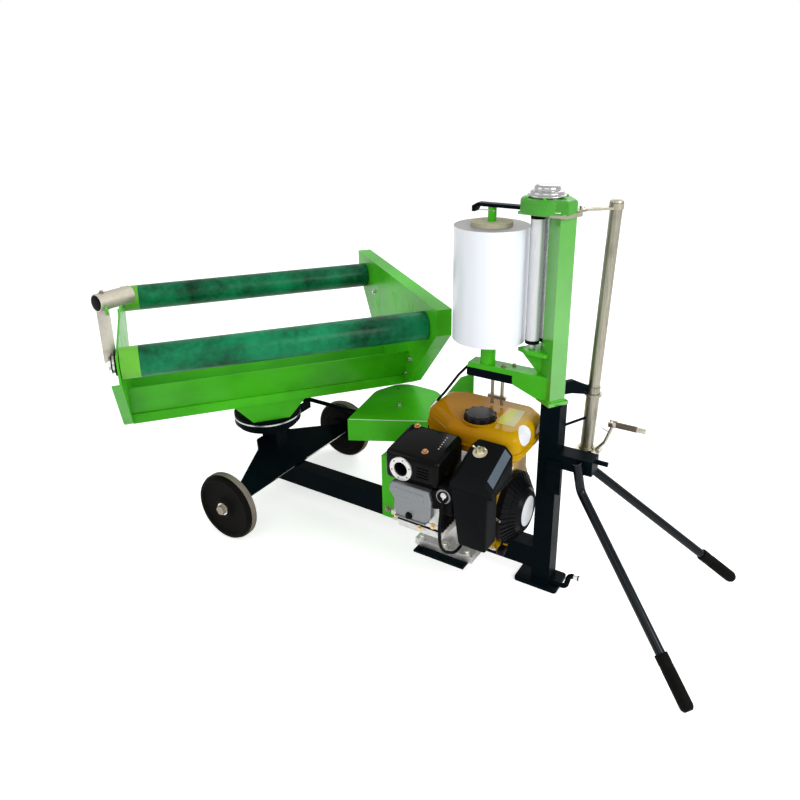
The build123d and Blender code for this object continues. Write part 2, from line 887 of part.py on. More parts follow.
with BuildPart() as muffler:
    with BuildSketch(Plane.YZ.offset(muffler_start)):
        Polygon(
            (muffler_front, muffler_bottom),
            (muffler_rear, muffler_bottom),
            (muffler_rear, muffler_rear_top),
            (muffler_front, muffler_front_top),
            align=None,
        )
    extrude(amount=muffler_end - muffler_start)
    fillet(muffler.edges(), muffler_edge)
    with BuildSketch(Plane.XZ.offset(-muffler_front)):
        with Locations((outlet_x, outlet_height)):
            Circle(outlet_bore)
    extrude(amount=-outlet_depth, mode=Mode.SUBTRACT)
    block(
        (muffler_start + muffler_end - muffler_neck_width) / 2,
        (muffler_start + muffler_end + muffler_neck_width) / 2,
        (muffler_front + muffler_rear - muffler_neck_depth) / 2,
        (muffler_front + muffler_rear + muffler_neck_depth) / 2,
        cylinder_top,
        muffler_bottom + outlet_thickness,
    )
muffler.part.label = "muffler"
export_step(muffler.part, "parts/muffler.step")

with BuildPart() as outlet_ring:
    with BuildSketch(Plane.XZ.offset(-muffler_front)):
        with Locations((outlet_x, outlet_height)):
            Circle(outlet_radius)
            Circle(outlet_bore, mode=Mode.SUBTRACT)
    extrude(amount=outlet_thickness)
outlet_ring.part.label = "outlet_ring"
export_step(outlet_ring.part, "parts/outlet_ring.step")

with BuildPart() as blower_housing:
    with BuildSketch(Plane.YZ.offset(crankcase_end)):
        with Locations((crank_offset, crank_height)):
            Circle(blower_radius)
        with Locations((crank_offset + blower_neck_shift, (crank_height + tank_bottom) / 2)):
            Rectangle(blower_neck_width, tank_bottom - crank_height)
    extrude(amount=blower_end - crankcase_end)
blower_housing.part.label = "blower_housing"
export_step(blower_housing.part, "parts/blower_housing.step")

starter_plane = Plane(origin=(0, crank_offset, crank_height), x_dir=(1, 0, 0), z_dir=(0, -1, 0))
with BuildPart() as recoil_starter:
    # Columns: along the beam, distance from the crankshaft's axis
    with BuildSketch(starter_plane):
        Polygon(
            (blower_end, 0),
            (blower_end, starter_radius),
            (blower_end + starter_rim, starter_radius),
            (starter_end - starter_face_edge, starter_face_radius + starter_face_edge),
            (starter_end, starter_face_radius),
            (starter_end, 0),
            align=None,
        )
    revolve(axis=Axis(starter_plane.origin, (1, 0, 0)))
recoil_starter.part.label = "recoil_starter"
export_step(recoil_starter.part, "parts/recoil_starter.step")

# Columns: along the beam, across it
tank_corners = [
    (-282.0, -60.0),
    (-284.0, 40.0),
    (-240.0, 66.0),
    (-70.0, 66.0),
    (-34.0, 34.0),
    (-34.0, -110.0),
    (-70.0, -118.0),
    (-200.0, -114.0),
]
with BuildPart() as fuel_tank:
    with BuildSketch(Plane.XY.offset(tank_bottom)):
        Polygon(*tank_corners, align=None)
    extrude(amount=tank_top - tank_bottom)
    fillet(fuel_tank.edges().filter_by(Axis.Z), tank_edge)
    fillet(fuel_tank.faces().sort_by(Axis.Z)[-1].edges(), tank_crown)
    fillet(fuel_tank.faces().sort_by(Axis.Z)[0].edges(), tank_crown / 3)
    with BuildSketch(Plane.XY.offset(tank_seam_height)) as tank_seam:
        Polygon(*tank_corners, align=None)
        fillet(tank_seam.vertices(), tank_edge)
        offset(amount=tank_seam_width)
    extrude(amount=tank_seam_thickness)
fuel_tank.part.label = "fuel_tank"
export_step(fuel_tank.part, "parts/fuel_tank.step")

with BuildPart() as tank_cap:
    with Locations((tank_cap_x, tank_cap_offset, tank_top + tank_cap_height / 2)):
        Cylinder(tank_cap_radius, tank_cap_height)
    fillet(tank_cap.edges().sort_by(Axis.Z)[-1], tank_cap_height / 4)
tank_cap.part.label = "tank_cap"
export_step(tank_cap.part, "parts/tank_cap.step")

with BuildPart() as air_cleaner:
    with BuildSketch(Plane.YZ.offset(cleaner_start)):
        Polygon(
            (cleaner_front, cleaner_bottom),
            (cleaner_rear, cleaner_bottom),
            (cleaner_rear, cleaner_rear_top),
            (cleaner_front, cleaner_front_top),
            align=None,
        )
    extrude(amount=cleaner_end - cleaner_start)
    lid = air_cleaner.faces().sort_by(Axis.Z)[-1]
    chamfer(lid.edges().filter_by(Axis.X, reverse=True), cleaner_bevel)
    block(
        intake_start,
        intake_end,
        cleaner_front,
        intake_rear,
        intake_bottom,
        cleaner_bottom + cleaner_bevel,
    )
air_cleaner.part.label = "air_cleaner"
export_step(air_cleaner.part, "parts/air_cleaner.step")

with BuildPart() as carburettor:
    block(
        crankcase_end + carburettor_gap,
        intake_end - carburettor_gap,
        intake_rear + carburettor_gap,
        intake_rear + carburettor_gap + carburettor_depth,
        carburettor_bottom,
        cleaner_bottom,
    )
    block(
        cylinder_end,
        crankcase_end + carburettor_gap,
        intake_rear + carburettor_gap,
        intake_rear + carburettor_gap + carburettor_depth,
        carburettor_bottom,
        carburettor_bottom + carburettor_neck_height,
    )
carburettor.part.label = "carburettor"
export_step(carburettor.part, "parts/carburettor.step")

# Column of the film dispenser, turned on the post
column_plane = Plane(
    origin=(column_shift, 0, 0),
    x_dir=(cos(radians(column_turn)), sin(radians(column_turn)), 0),
    z_dir=(0, 0, 1),
)
# Columns: along the beam, across it
top_plate_outline = [
    (-92.0, -26.0),
    (-30.0, -34.0),
    (10.0, -34.0),
    (26.0, 10.0),
    (0.0, 32.0),
    (-40.0, 48.0),
    (-76.0, 30.0),
]
# Columns: side, along the beam, across it
stretch_rollers = (
    ("near", -57.0, -2.0),
    ("far", -40.0, 26.0),
)
stretch_places = [(x, y) for _, x, y in stretch_rollers]
top_plate_top = column_top + top_plate_thickness
with BuildPart() as column:
    with BuildSketch(column_plane.offset(post_top)):
        Rectangle(column_flange_side, column_flange_side)
    extrude(amount=column_flange)
    with BuildSketch(column_plane.offset(post_top + column_flange)):
        Rectangle(column_side, column_side)
        Rectangle(column_side - 2 * column_wall, column_side - 2 * column_wall, mode=Mode.SUBTRACT)
    extrude(amount=column_top - post_top - column_flange)
    with BuildSketch(Plane.XY.offset(column_top)):
        Polygon(*top_plate_outline, align=None)
        with Locations(*stretch_places):
            Circle(stretch_pin_radius + stretch_pin_fit, mode=Mode.SUBTRACT)
    extrude(amount=top_plate_thickness)
column.part.label = "column"
export_step(column.part, "parts/column.step")

with BuildPart(mode=Mode.PRIVATE) as column_core:
    with BuildSketch(column_plane.offset(post_top)):
        Rectangle(column_side, column_side)
    extrude(amount=column_top - post_top)
    with BuildSketch(column_plane.offset(post_top)):
        Rectangle(column_flange_side, column_flange_side)
    extrude(amount=column_flange)

# Columns: along the beam, across it
gearbox_shoulder = [
    (-20.0, -42.0),
    (16.0, -34.0),
    (22.0, 0.0),
    (0.0, 34.0),
    (-30.0, 44.0),
]
with BuildPart() as gearbox:
    with BuildSketch(Plane.XY.offset(top_plate_top)):
        with Locations((gearbox_shift, 0)):
            Circle(gearbox_radius)
        Polygon(*gearbox_shoulder, align=None)
    extrude(amount=gearbox_height)
    fillet(gearbox.faces().sort_by(Axis.Z)[-1].edges(), gearbox_edge)
    with BuildSketch(Plane.XY.offset(top_plate_top)):
        with Locations(*stretch_places):
            Circle(stretch_pin_radius + stretch_gap)
    extrude(amount=stretch_gap, mode=Mode.SUBTRACT)
gearbox.part.label = "gearbox"
export_step(gearbox.part, "parts/gearbox.step")

dome_bottom = top_plate_top + gearbox_height
with BuildPart() as gearbox_dome:
    with Locations((gearbox_shift, 0, dome_bottom + dome_step / 2)):
        Cylinder(dome_radius, dome_step)
    with Locations((gearbox_shift, 0, dome_bottom + dome_height / 2)):
        Cylinder(dome_crown_radius, dome_height)
    fillet(gearbox_dome.edges().sort_by(Axis.Z)[-1], (dome_height - dome_step) / 2)
gearbox_dome.part.label = "gearbox_dome"
export_step(gearbox_dome.part, "parts/gearbox_dome.step")

# Columns: along the beam, across it
stretch_plate_outline = [
    (-86.0, -8.0),
    (-60.0, -22.0),
    (-18.0, -26.0),
    (10.0, 10.0),
    (-20.0, 46.0),
    (-56.0, 42.0),
]
with BuildPart() as stretch_bracket:
    with BuildSketch(Plane.XY.offset(stretch_plate_bottom)):
        Polygon(*stretch_plate_outline, align=None)
        with Locations(*stretch_places):
            Circle(stretch_pin_radius + stretch_pin_fit, mode=Mode.SUBTRACT)
    extrude(amount=stretch_plate_thickness)
    with BuildSketch(Plane.XZ.offset(stretch_gusset_half)):
        Polygon(
            (stretch_gusset_start, stretch_plate_bottom),
            (column_shift, stretch_plate_bottom),
            (column_shift, arm_top),
            (stretch_gusset_foot, arm_top),
            align=None,
        )
    extrude(amount=-2 * stretch_gusset_half)
    add(column_core.part, mode=Mode.SUBTRACT)
stretch_bracket.part = stretch_bracket.part.solids().sort_by(SortBy.VOLUME)[-1]
stretch_bracket.part.label = "stretch_bracket"
export_step(stretch_bracket.part, "parts/stretch_bracket.step")

stretch_plate_top = stretch_plate_bottom + stretch_plate_thickness
for side, x, y in stretch_rollers:
    with BuildPart() as stretch_roller:
        with BuildSketch(Plane.XY.offset(stretch_plate_bottom)):
            with Locations((x, y)):
                Circle(stretch_pin_radius)
        extrude(amount=top_plate_top - stretch_plate_bottom)
        with BuildSketch(Plane.XY.offset(stretch_bottom)):
            with Locations((x, y)):
                Circle(stretch_radius)
        extrude(amount=column_top - stretch_gap - stretch_bottom)
        with BuildSketch(Plane.XY.offset(stretch_bottom)):
            with Locations((x, y)):
                Circle(1.5 * stretch_pin_radius)
        extrude(amount=-(stretch_bottom - stretch_plate_top - stretch_gap))
    stretch_roller.part.label = f"stretch_roller_{side}"
    export_step(stretch_roller.part, f"parts/stretch_roller_{side}.step")

# Arms that hold the film roll, and the roll on its spindle
with BuildPart() as lower_arm:
    with BuildSketch(Plane.XZ.offset(arm_half_width)):
        Polygon(
            (-arm_reach, arm_top - arm_sheet),
            (-arm_reach + arm_sheet / 3, arm_top),
            (column_shift, arm_top),
            (column_shift, post_top + column_flange),
            (-column_side, post_top + column_flange),
            (arm_bar_start, arm_top - arm_sheet - arm_bar_height),
            (arm_bar_start, arm_top - arm_sheet),
            align=None,
        )
    extrude(amount=-2 * arm_half_width)
    add(column_core.part, mode=Mode.SUBTRACT)
lower_arm.part = lower_arm.part.solids().sort_by(SortBy.VOLUME)[-1]
lower_arm.part.label = "lower_arm"
export_step(lower_arm.part, "parts/lower_arm.step")

with BuildPart() as arm_bar:
    block(
        -arm_reach,
        arm_bar_start,
        -arm_half_width,
        arm_half_width,
        arm_top - arm_sheet - arm_bar_height,
        arm_top - arm_sheet,
    )
arm_bar.part.label = "arm_bar"
export_step(arm_bar.part, "parts/arm_bar.step")

# Spring rods below the lower arm, with their cross bar
rod_places = [(-152.0, 12.0), (-128.0, 12.0)]
rod_bottom = tank_top + rod_gap
rod_bar_bottom = rod_bottom + rod_bar_rise
with BuildPart() as tension_rods:
    with BuildSketch(Plane.XY.offset(rod_bottom)):
        with Locations(*rod_places):
            Circle(rod_radius)
    extrude(amount=arm_top - arm_sheet - arm_bar_height - rod_bottom)
    block(
        rod_places[0][0] - rod_bar_margin,
        rod_places[1][0] + rod_bar_margin,
        rod_places[0][1] - rod_radius,
        rod_places[0][1] + rod_radius,
        rod_bar_bottom,
        rod_bar_bottom + rod_bar_height,
    )
tension_rods.part.label = "tension_rods"
export_step(tension_rods.part, "parts/tension_rods.step")

# Spark-plug lead down the front of the engine, and the throttle cable from the lower arm
lead_points = [
    (-139.0, cylinder_front - 6, 304.0),
    (-147.0, cylinder_front - 8, 238.0),
    (-150.0, cylinder_front + 2, 168.0),
    (-143.0, crankcase_foot_front - 18, 130.0),
    (-141.0, crankcase_front, 140.0),
]
lead_bends = [200.0, 75.0, 45.0]
cable_points = [
    (-arm_reach, -10.0, arm_top - arm_sheet),
    (-228.0, -10.0, 482.0),
    (-262.0, -10.0, 432.0),
    (-298.0, -10.0, 385.0),
    (-308.0, -10.0, 330.0),
    (-294.0, -10.0, 278.0),
    (crankcase_start, -10.0, 252.0),
]
cable_bends = [60.0, 200.0, 100.0, 70.0, 40.0]
# Columns: name, points, bend radius at each inner point, radius of the cord
cords = (
    ("spark_lead", lead_points, lead_bends, lead_radius),
    ("throttle_cable", cable_points, cable_bends, cable_radius),
)
for name, points, bends, radius in cords:
    with BuildPart() as cord:
        with BuildLine() as route:
            FilletPolyline(*points, radius=bends)
        with BuildSketch(Plane(origin=route.line @ 0, z_dir=route.line % 0)):
            Circle(radius)
        sweep(path=route.line)
        add(arm_bar.part, mode=Mode.SUBTRACT)
        add(lower_arm.part, mode=Mode.SUBTRACT)
        add(crankcase.part, mode=Mode.SUBTRACT)
    cord.part = cord.part.solids().sort_by(SortBy.VOLUME)[-1]
    cord.part.label = name
    export_step(cord.part, f"parts/{name}.step")

with BuildPart() as upper_arm:
    with BuildSketch(Plane.XZ.offset(upper_arm_width / 2)):
        Polygon(
            (-arm_reach, top_plate_top - upper_arm_hook),
            (-arm_reach, top_plate_top),
            (-arm_reach + upper_arm_hook, top_plate_top + upper_arm_thickness),
            (gearbox_shift, top_plate_top + upper_arm_thickness),
            (gearbox_shift, top_plate_top),
            (-arm_reach + upper_arm_hook, top_plate_top),
            (-arm_reach + upper_arm_thickness, top_plate_top - upper_arm_hook),
            align=None,
        )
    extrude(amount=-upper_arm_width)
    add(gearbox.part, mode=Mode.SUBTRACT)
upper_arm.part = upper_arm.part.solids().sort_by(SortBy.VOLUME)[-1]
upper_arm.part.label = "upper_arm"
export_step(upper_arm.part, "parts/upper_arm.step")

roll_top = roll_bottom + roll_height
with BuildPart() as film_spindle:
    with BuildSketch(Plane.XY.offset(arm_top)):
        with Locations((-roll_offset, 0)):
            Circle(film_spindle_radius)
    extrude(amount=top_plate_top - arm_top)
    with BuildSketch(Plane.XY.offset(arm_top)):
        with Locations((-roll_offset, 0)):
            Circle(spindle_collar_radius)
    extrude(amount=roll_bottom - core_cap_thickness - core_cap_gap - arm_top)
film_spindle.part.label = "film_spindle"
export_step(film_spindle.part, "parts/film_spindle.step")

with BuildPart() as film_roll:
    with BuildSketch(Plane.XY.offset(roll_bottom)):
        with Locations((-roll_offset, 0)):
            Circle(roll_radius)
            Circle(roll_core_radius, mode=Mode.SUBTRACT)
    extrude(amount=roll_height)
film_roll.part.label = "film_roll"
export_step(film_roll.part, "parts/film_roll.step")

with BuildPart() as roll_core:
    with BuildSketch(Plane.XY.offset(roll_bottom)):
        with Locations((-roll_offset, 0)):
            Circle(roll_core_radius)
            Circle(roll_core_radius - roll_core_wall, mode=Mode.SUBTRACT)
    extrude(amount=roll_height)
    for height, away in ((roll_bottom, -1), (roll_top, 1)):
        with BuildSketch(Plane.XY.offset(height)):
            with Locations((-roll_offset, 0)):
                Circle(core_cap_radius)
                Circle(film_spindle_radius + film_spindle_fit, mode=Mode.SUBTRACT)
        extrude(amount=away * core_cap_thickness)
roll_core.part.label = "roll_core"
export_step(roll_core.part, "parts/roll_core.step")

# Lever tube beside the column: it leans outwards, from its foot to the strap at its top
lever_height = top_plate_top - lever_bottom
lever_plane = Plane(
    origin=(lever_foot_x, lever_offset, lever_bottom),
    x_dir=(0, 1, 0),
    z_dir=(lever_top_x - lever_foot_x, 0, lever_height),
)
# Columns: radius, bottom and top above the tube's foot
lever_steps = (
    (lever_sleeve_radius, -lever_wall, lever_joint - lever_bottom),
    (lever_radius, -lever_wall, lever_height + lever_wall),
    (
        lever_ring_radius,
        lever_ring_height - lever_bottom,
        lever_ring_height + lever_ring_thickness - lever_bottom,
    ),
)
with BuildPart() as lever_tube:
    for radius, bottom, top in lever_steps:
        with BuildSketch(lever_plane.offset(bottom)):
            Circle(radius)
        extrude(amount=top - bottom)
    with BuildSketch(lever_plane.offset(-lever_wall)):
        Circle(lever_radius - lever_wall)
    extrude(amount=lever_height + 2 * lever_wall, mode=Mode.SUBTRACT)
    split(bisect_by=Plane.XY.offset(lever_bottom), keep=Keep.TOP)
    split(bisect_by=Plane.XY.offset(top_plate_top), keep=Keep.BOTTOM)
lever_tube.part.label = "lever_tube"
export_step(lever_tube.part, "parts/lever_tube.step")

with BuildPart(mode=Mode.PRIVATE) as lever_core:
    for radius, bottom, top in lever_steps:
        with BuildSketch(lever_plane.offset(bottom)):
            Circle(radius)
        extrude(amount=top - bottom)

# Columns: along the beam, across it
tube_strap_outline = [
    (-22.0, -34.0),
    (10.0, -36.0),
    (30.0, 34.0),
    (lever_top_x + 6, lever_offset - 8),
    (lever_top_x - 8, lever_offset + 8),
    (18.0, 44.0),
]
with BuildPart() as tube_strap:
    with BuildSketch(Plane.XY.offset(top_plate_top)):
        Polygon(*tube_strap_outline, align=None)
    extrude(amount=stay_thickness)
    with BuildSketch(Plane.XY.offset(top_plate_top)):
        with Locations((lever_top_x, lever_offset)):
            Circle(lever_sleeve_radius)
    extrude(amount=2.5 * stay_thickness)
    add(gearbox.part, mode=Mode.SUBTRACT)
tube_strap.part = tube_strap.part.solids().sort_by(SortBy.VOLUME)[-1]
tube_strap.part.label = "tube_strap"
export_step(tube_strap.part, "parts/tube_strap.step")

with BuildPart(mode=Mode.PRIVATE) as post_core:
    with BuildSketch(Plane.XY.offset(foot_thickness)):
        Rectangle(post_side, post_side)
    extrude(amount=post_top - foot_thickness)

# Arched stay from the column's rear face to the tube, just above its ring
stay_run = lever_offset
stay_start = Vector(column_shift, 0, 0)
stay_way = Vector(lever_foot_x - column_shift, lever_offset, 0).normalized()
stay_foot = lever_ring_height + lever_ring_thickness
stay_plane = Plane(
    origin=stay_start, x_dir=stay_way, z_dir=Vector(stay_way.Y, -stay_way.X, 0)
)
with BuildPart() as tube_stay:
    with BuildSketch(stay_plane.offset(-stay_width / 2)):
        Polygon(
            (0, stay_foot + stay_rise),
            (0.55 * stay_run, stay_foot + stay_rise - 2),
            (stay_run, stay_foot),
            (1.2 * stay_run, stay_foot),
            (1.2 * stay_run, stay_foot + stay_height / 2),
            (stay_run, stay_foot + stay_height - stay_rise / 2),
            (0.6 * stay_run, stay_foot + stay_height + stay_rise),
            (0, stay_foot + stay_height + stay_rise),
            align=None,
        )
    extrude(amount=stay_width)
    add(column_core.part, mode=Mode.SUBTRACT)
    add(lever_core.part, mode=Mode.SUBTRACT)
    add(post_core.part, mode=Mode.SUBTRACT)

# Thin link between the post and the tube
link_start = Vector(post_side / 4, 0, link_height)
link_way = Vector(lever_foot_x, lever_offset, link_height) - link_start
with BuildPart() as tube_link:
    with BuildSketch(Plane(origin=link_start, z_dir=link_way)):
        Circle(link_radius)
    extrude(amount=link_way.length)
    add(lever_core.part, mode=Mode.SUBTRACT)
    add(post_core.part, mode=Mode.SUBTRACT)
with BuildPart() as tube_stays:
    add(tube_stay.part.solids().sort_by(SortBy.VOLUME)[-1])
    add(tube_link.part.solids().sort_by(SortBy.VOLUME)[-1])
tube_stays.part.label = "tube_stays"
export_step(tube_stays.part, "parts/tube_stays.step")

# Foot plate of the tube on a dark arm from the handle bracket
# Columns: along the beam, across it
foot_plate_outline = [
    (32.0, 46.0),
    (84.0, 48.0),
    (84.0, 104.0),
    (50.0, 112.0),
    (30.0, 96.0),
]
foot_arm_outline = [
    (26.0, bracket_half_width),
    (48.0, bracket_half_width),
    (50.0, 48.0),
    (74.0, 60.0),
    (70.0, 100.0),
    (34.0, 100.0),
]
with BuildPart() as lever_foot:
    with BuildSketch(Plane.XY.offset(lever_bottom - stay_thickness)):
        Polygon(*foot_plate_outline, align=None)
    extrude(amount=stay_thickness)
lever_foot.part.label = "lever_foot"
export_step(lever_foot.part, "parts/lever_foot.step")

# Hand lever: a bent rod up from the foot plate, and its bar
hand_x = lever_foot_x + hand_start
hand_top = (hand_x + hand_run, lever_offset, lever_bottom + hand_rise)
with BuildPart() as hand_lever:
    with BuildLine() as lever_path:
        FilletPolyline(
            (hand_x, lever_offset, lever_bottom),
            (hand_x + hand_bend_run, lever_offset, lever_bottom + hand_bend_rise),
            hand_top,
            radius=hand_bend_radius,
        )
    with BuildSketch(Plane(origin=lever_path.line @ 0, z_dir=lever_path.line % 0)):
        Circle(hand_rod_radius)
    sweep(path=lever_path.line)
    with BuildSketch(Plane.YZ.offset(hand_top[0] - hand_bar_radius)):
        with Locations((lever_offset, hand_top[2])):
            Circle(hand_bar_radius)
    extrude(amount=hand_bar_length)
    split(bisect_by=Plane.XY.offset(lever_bottom), keep=Keep.TOP)
hand_lever.part.label = "hand_lever"
export_step(hand_lever.part, "parts/hand_lever.step")

# Push handles on a bracket behind the post, with a pin out of its end
post_face = post_side / 2
bracket_end = post_face + bracket_length
bracket_middle = (bracket_bottom + bracket_top) / 2
with BuildPart() as handle_bracket:
    with BuildSketch(Plane.YZ.offset(post_face)):
        with Locations((0, bracket_middle)):
            Rectangle(2 * bracket_half_width, bracket_top - bracket_bottom)
        with Locations((0, bracket_middle - bracket_wall)):
            Rectangle(
                2 * (bracket_half_width - bracket_wall),
                bracket_top - bracket_bottom,
                mode=Mode.SUBTRACT,
            )
    extrude(amount=bracket_length)
    block(
        bracket_end - bracket_wall,
        bracket_end,
        -bracket_half_width,
        bracket_half_width,
        bracket_bottom,
        bracket_top,
    )
    with BuildSketch(Plane.YZ.offset(bracket_end)):
        with Locations((bracket_half_width / 2, bracket_middle + bracket_wall)):
            Circle(bracket_pin_radius)
    extrude(amount=bracket_pin_length)
    block(
        0,
        post_face + gusset_overhang,
        -post_face - gusset_thickness,
        -post_face,
        gusset_bottom,
        bracket_middle,
    )
    with BuildSketch(Plane.XY.offset(lever_bottom - stay_thickness)):
        Polygon(*foot_arm_outline, align=None)
    extrude(amount=-stay_thickness)

# Columns: sign across, rise of the top above the pin, drop and spread of the knee, end of the grip
handle_table = (
    (-1, 16.0, 46.0, 3.0, 378.0, 232.0),
    (1, 10.0, 26.0, 2.0, 383.0, 214.0),
)
handle_paths = []
for sign, rise, drop, spread, end_x, end_side in handle_table:
    with BuildLine() as handle_path:
        FilletPolyline(
            (handle_pin_x - handle_top_back, sign * handle_side, handle_pin_height + rise),
            (
                handle_pin_x + handle_knee_out,
                sign * (handle_side + spread),
                handle_pin_height - drop,
            ),
            (end_x, sign * end_side, handle_floor),
            radius=handle_bend,
        )
    handle_paths.append((sign, handle_path.line))

with BuildPart() as handles:
    for sign, path in handle_paths:
        with BuildSketch(Plane(origin=path @ 0, z_dir=path % 0)):
            Circle(handle_radius)
            Circle(handle_radius - handle_wall, mode=Mode.SUBTRACT)
        sweep(path=path)
handles.part.label = "handles"
export_step(handles.part, "parts/handles.step")

with BuildPart() as grips:
    for sign, path in handle_paths:
        with BuildSketch(Plane(origin=path @ 1, z_dir=-(path % 1))):
            Circle(grip_radius)
            Circle(handle_radius, mode=Mode.SUBTRACT)
        extrude(amount=grip_length)
grips.part.label = "grips"
export_step(grips.part, "parts/grips.step")

with BuildPart(mode=Mode.PRIVATE) as handle_cores:
    for sign, path in handle_paths:
        with BuildSketch(Plane(origin=path @ 0, z_dir=path % 0)):
            Circle(handle_radius)
        sweep(path=path)

with handle_bracket:
    for sign, path in handle_paths:
        with BuildSketch(Plane.XZ.offset(-sign * bracket_half_width)):
            with Locations((handle_pin_x, handle_pin_height)):
                Circle(handle_pin_radius)
        extrude(amount=-sign * (handle_side - bracket_half_width + handle_wall))
    add(handle_cores.part, mode=Mode.SUBTRACT)
handle_bracket.part = handle_bracket.part.solids().sort_by(SortBy.VOLUME)[-1]
handle_bracket.part.label = "handle_bracket"
export_step(handle_bracket.part, "parts/handle_bracket.step")
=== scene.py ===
import math

import bpy
from mathutils import Matrix, Vector


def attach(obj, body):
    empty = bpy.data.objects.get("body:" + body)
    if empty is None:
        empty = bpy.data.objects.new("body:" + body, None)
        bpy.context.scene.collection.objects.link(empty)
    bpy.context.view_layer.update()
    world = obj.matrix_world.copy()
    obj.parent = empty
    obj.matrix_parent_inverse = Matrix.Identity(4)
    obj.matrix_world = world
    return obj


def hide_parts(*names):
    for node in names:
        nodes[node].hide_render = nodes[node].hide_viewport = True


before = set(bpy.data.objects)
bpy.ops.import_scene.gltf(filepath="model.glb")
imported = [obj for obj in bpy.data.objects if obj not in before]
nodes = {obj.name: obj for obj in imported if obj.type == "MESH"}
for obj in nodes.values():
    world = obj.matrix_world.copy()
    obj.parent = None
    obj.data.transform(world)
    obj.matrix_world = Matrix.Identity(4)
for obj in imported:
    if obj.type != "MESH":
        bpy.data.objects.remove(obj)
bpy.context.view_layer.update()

# Camera: it stands in front of the engine side, a little above the film roll, and looks down
# along the machine towards the wheels. Its lens is the photograph's.
camera_place = Vector((0.4845, -1.3815, 1.1329))
camera_turn = math.radians(32.446)
camera_dip = math.radians(20.013)
camera_roll = math.radians(-0.8365)
bpy.ops.object.select_all(action="DESELECT")
bpy.ops.object.camera_add()
camera = bpy.context.object
camera.name = "camera"
camera.matrix_world = (
    Matrix.Translation(camera_place)
    @ Matrix.Rotation(camera_turn, 4, "Z")
    @ Matrix.Rotation(math.pi / 2 - camera_dip, 4, "X")
    @ Matrix.Rotation(camera_roll, 4, "Z")
)
sensor_width = 36
photo_pixels = 800
focal_pixels = 725.97
camera.data.sensor_width = sensor_width
camera.data.lens = sensor_width * focal_pixels / photo_pixels
camera.data.shift_x = 0.0005
camera.data.shift_y = -0.0768
camera.data.clip_start = 0.01
camera.data.clip_end = 50
bpy.context.scene.camera = camera
bpy.context.scene.view_settings.view_transform = "Standard"


# Studio: a pale floor under a white backdrop, with large soft lamps. The floor keeps the
# machine's shadow, and bright surfaces mirror the same white.
class Dye:
    """A socket in a material's nodes. Sums, differences and products add Math nodes."""

    def __init__(self, tree, socket):
        self.tree = tree
        self.socket = socket

    def node(self, kind, feeds, give=0, **settings):
        """Adds a node: its settings first, then the links or values of its sockets."""
        made = self.tree.nodes.new(kind)
        for name, value in settings.items():
            setattr(made, name, value)
        for key, value in feeds.items():
            if isinstance(value, Dye):
                self.tree.links.new(value.socket, made.inputs[key])
            else:
                made.inputs[key].default_value = value
        return Dye(self.tree, made.outputs[give])

    def work_out(self, operation, first, second):
        """A Math node between two values."""
        return self.node("ShaderNodeMath", {0: first, 1: second}, operation=operation)

    def __add__(self, other):
        return self.work_out("ADD", self, other)

    __radd__ = __add__

    def __sub__(self, other):
        return self.work_out("SUBTRACT", self, other)

    def __rsub__(self, other):
        return self.work_out("SUBTRACT", other, self)

    def __mul__(self, other):
        return self.work_out("MULTIPLY", self, other)

    def __gt__(self, other):
        return self.work_out("GREATER_THAN", self, other)

    def most(self, other):
        """The greater of this value and another."""
        return self.work_out("MAXIMUM", self, other)

    def spread(self, low, high, top=1.0):
        """Maps the values between low and high to the range from 0 to top."""
        limits = {"Value": self, "From Min": low, "From Max": high, "To Max": top}
        return self.node("ShaderNodeMapRange", limits)

    def part(self, letter):
        """One of a place's three coordinates."""
        return self.node("ShaderNodeSeparateXYZ", {0: self}, give=letter)

    def stretch(self, scale):
        """A place with each of its coordinates scaled."""
        return self.node("ShaderNodeMapping", {"Vector": self, "Scale": scale})

    def noise(self, scale, detail=2.0, rough=0.5):
        """Cloudy noise, read at a place."""
        sizes = {"Vector": self, "Scale": scale, "Detail": detail, "Roughness": rough}
        return self.node("ShaderNodeTexNoise", sizes)

    def ramp(self, *stops):
        """Turns values to colours. Each stop is a value and its colour."""
        tone = self.node("ShaderNodeValToRGB", {"Fac": self})
        bands = tone.socket.node.color_ramp.elements
        while len(bands) < len(stops):
            bands.new(0.5)
        for band, (value, colour) in zip(bands, stops):
            band.position = value
            band.color = colour
        return tone

    def mix(self, first, second):
        """Blends two colours: the first where this factor is 0, the second where it is 1."""
        colours = {"Factor": self, 6: first, 7: second}
        return self.node("ShaderNodeMix", colours, give=2, data_type="RGBA")


def place_in(tree):
    """The Object coordinates in a material's nodes."""
    return Dye(tree, tree.nodes.new("ShaderNodeTexCoord").outputs["Object"])


def new_finish(name):
    """A new material, its shader node and its Object coordinates."""
    finish = bpy.data.materials.new(name)
    finish.use_nodes = True
    return finish, finish.node_tree.nodes["Principled BSDF"], place_in(finish.node_tree)


def feed(shader, name, dye):
    """Joins a Dye to one of a shader's sockets."""
    dye.tree.links.new(dye.socket, shader.inputs[name])


def kinds_of_rays(tree):
    """Three values that are 1 for the camera's rays, mirrored rays and rays through glass."""
    path = tree.nodes.new("ShaderNodeLightPath")
    names = ("Is Camera Ray", "Is Glossy Ray", "Is Transmission Ray")
    return [Dye(tree, path.outputs[name]) for name in names]


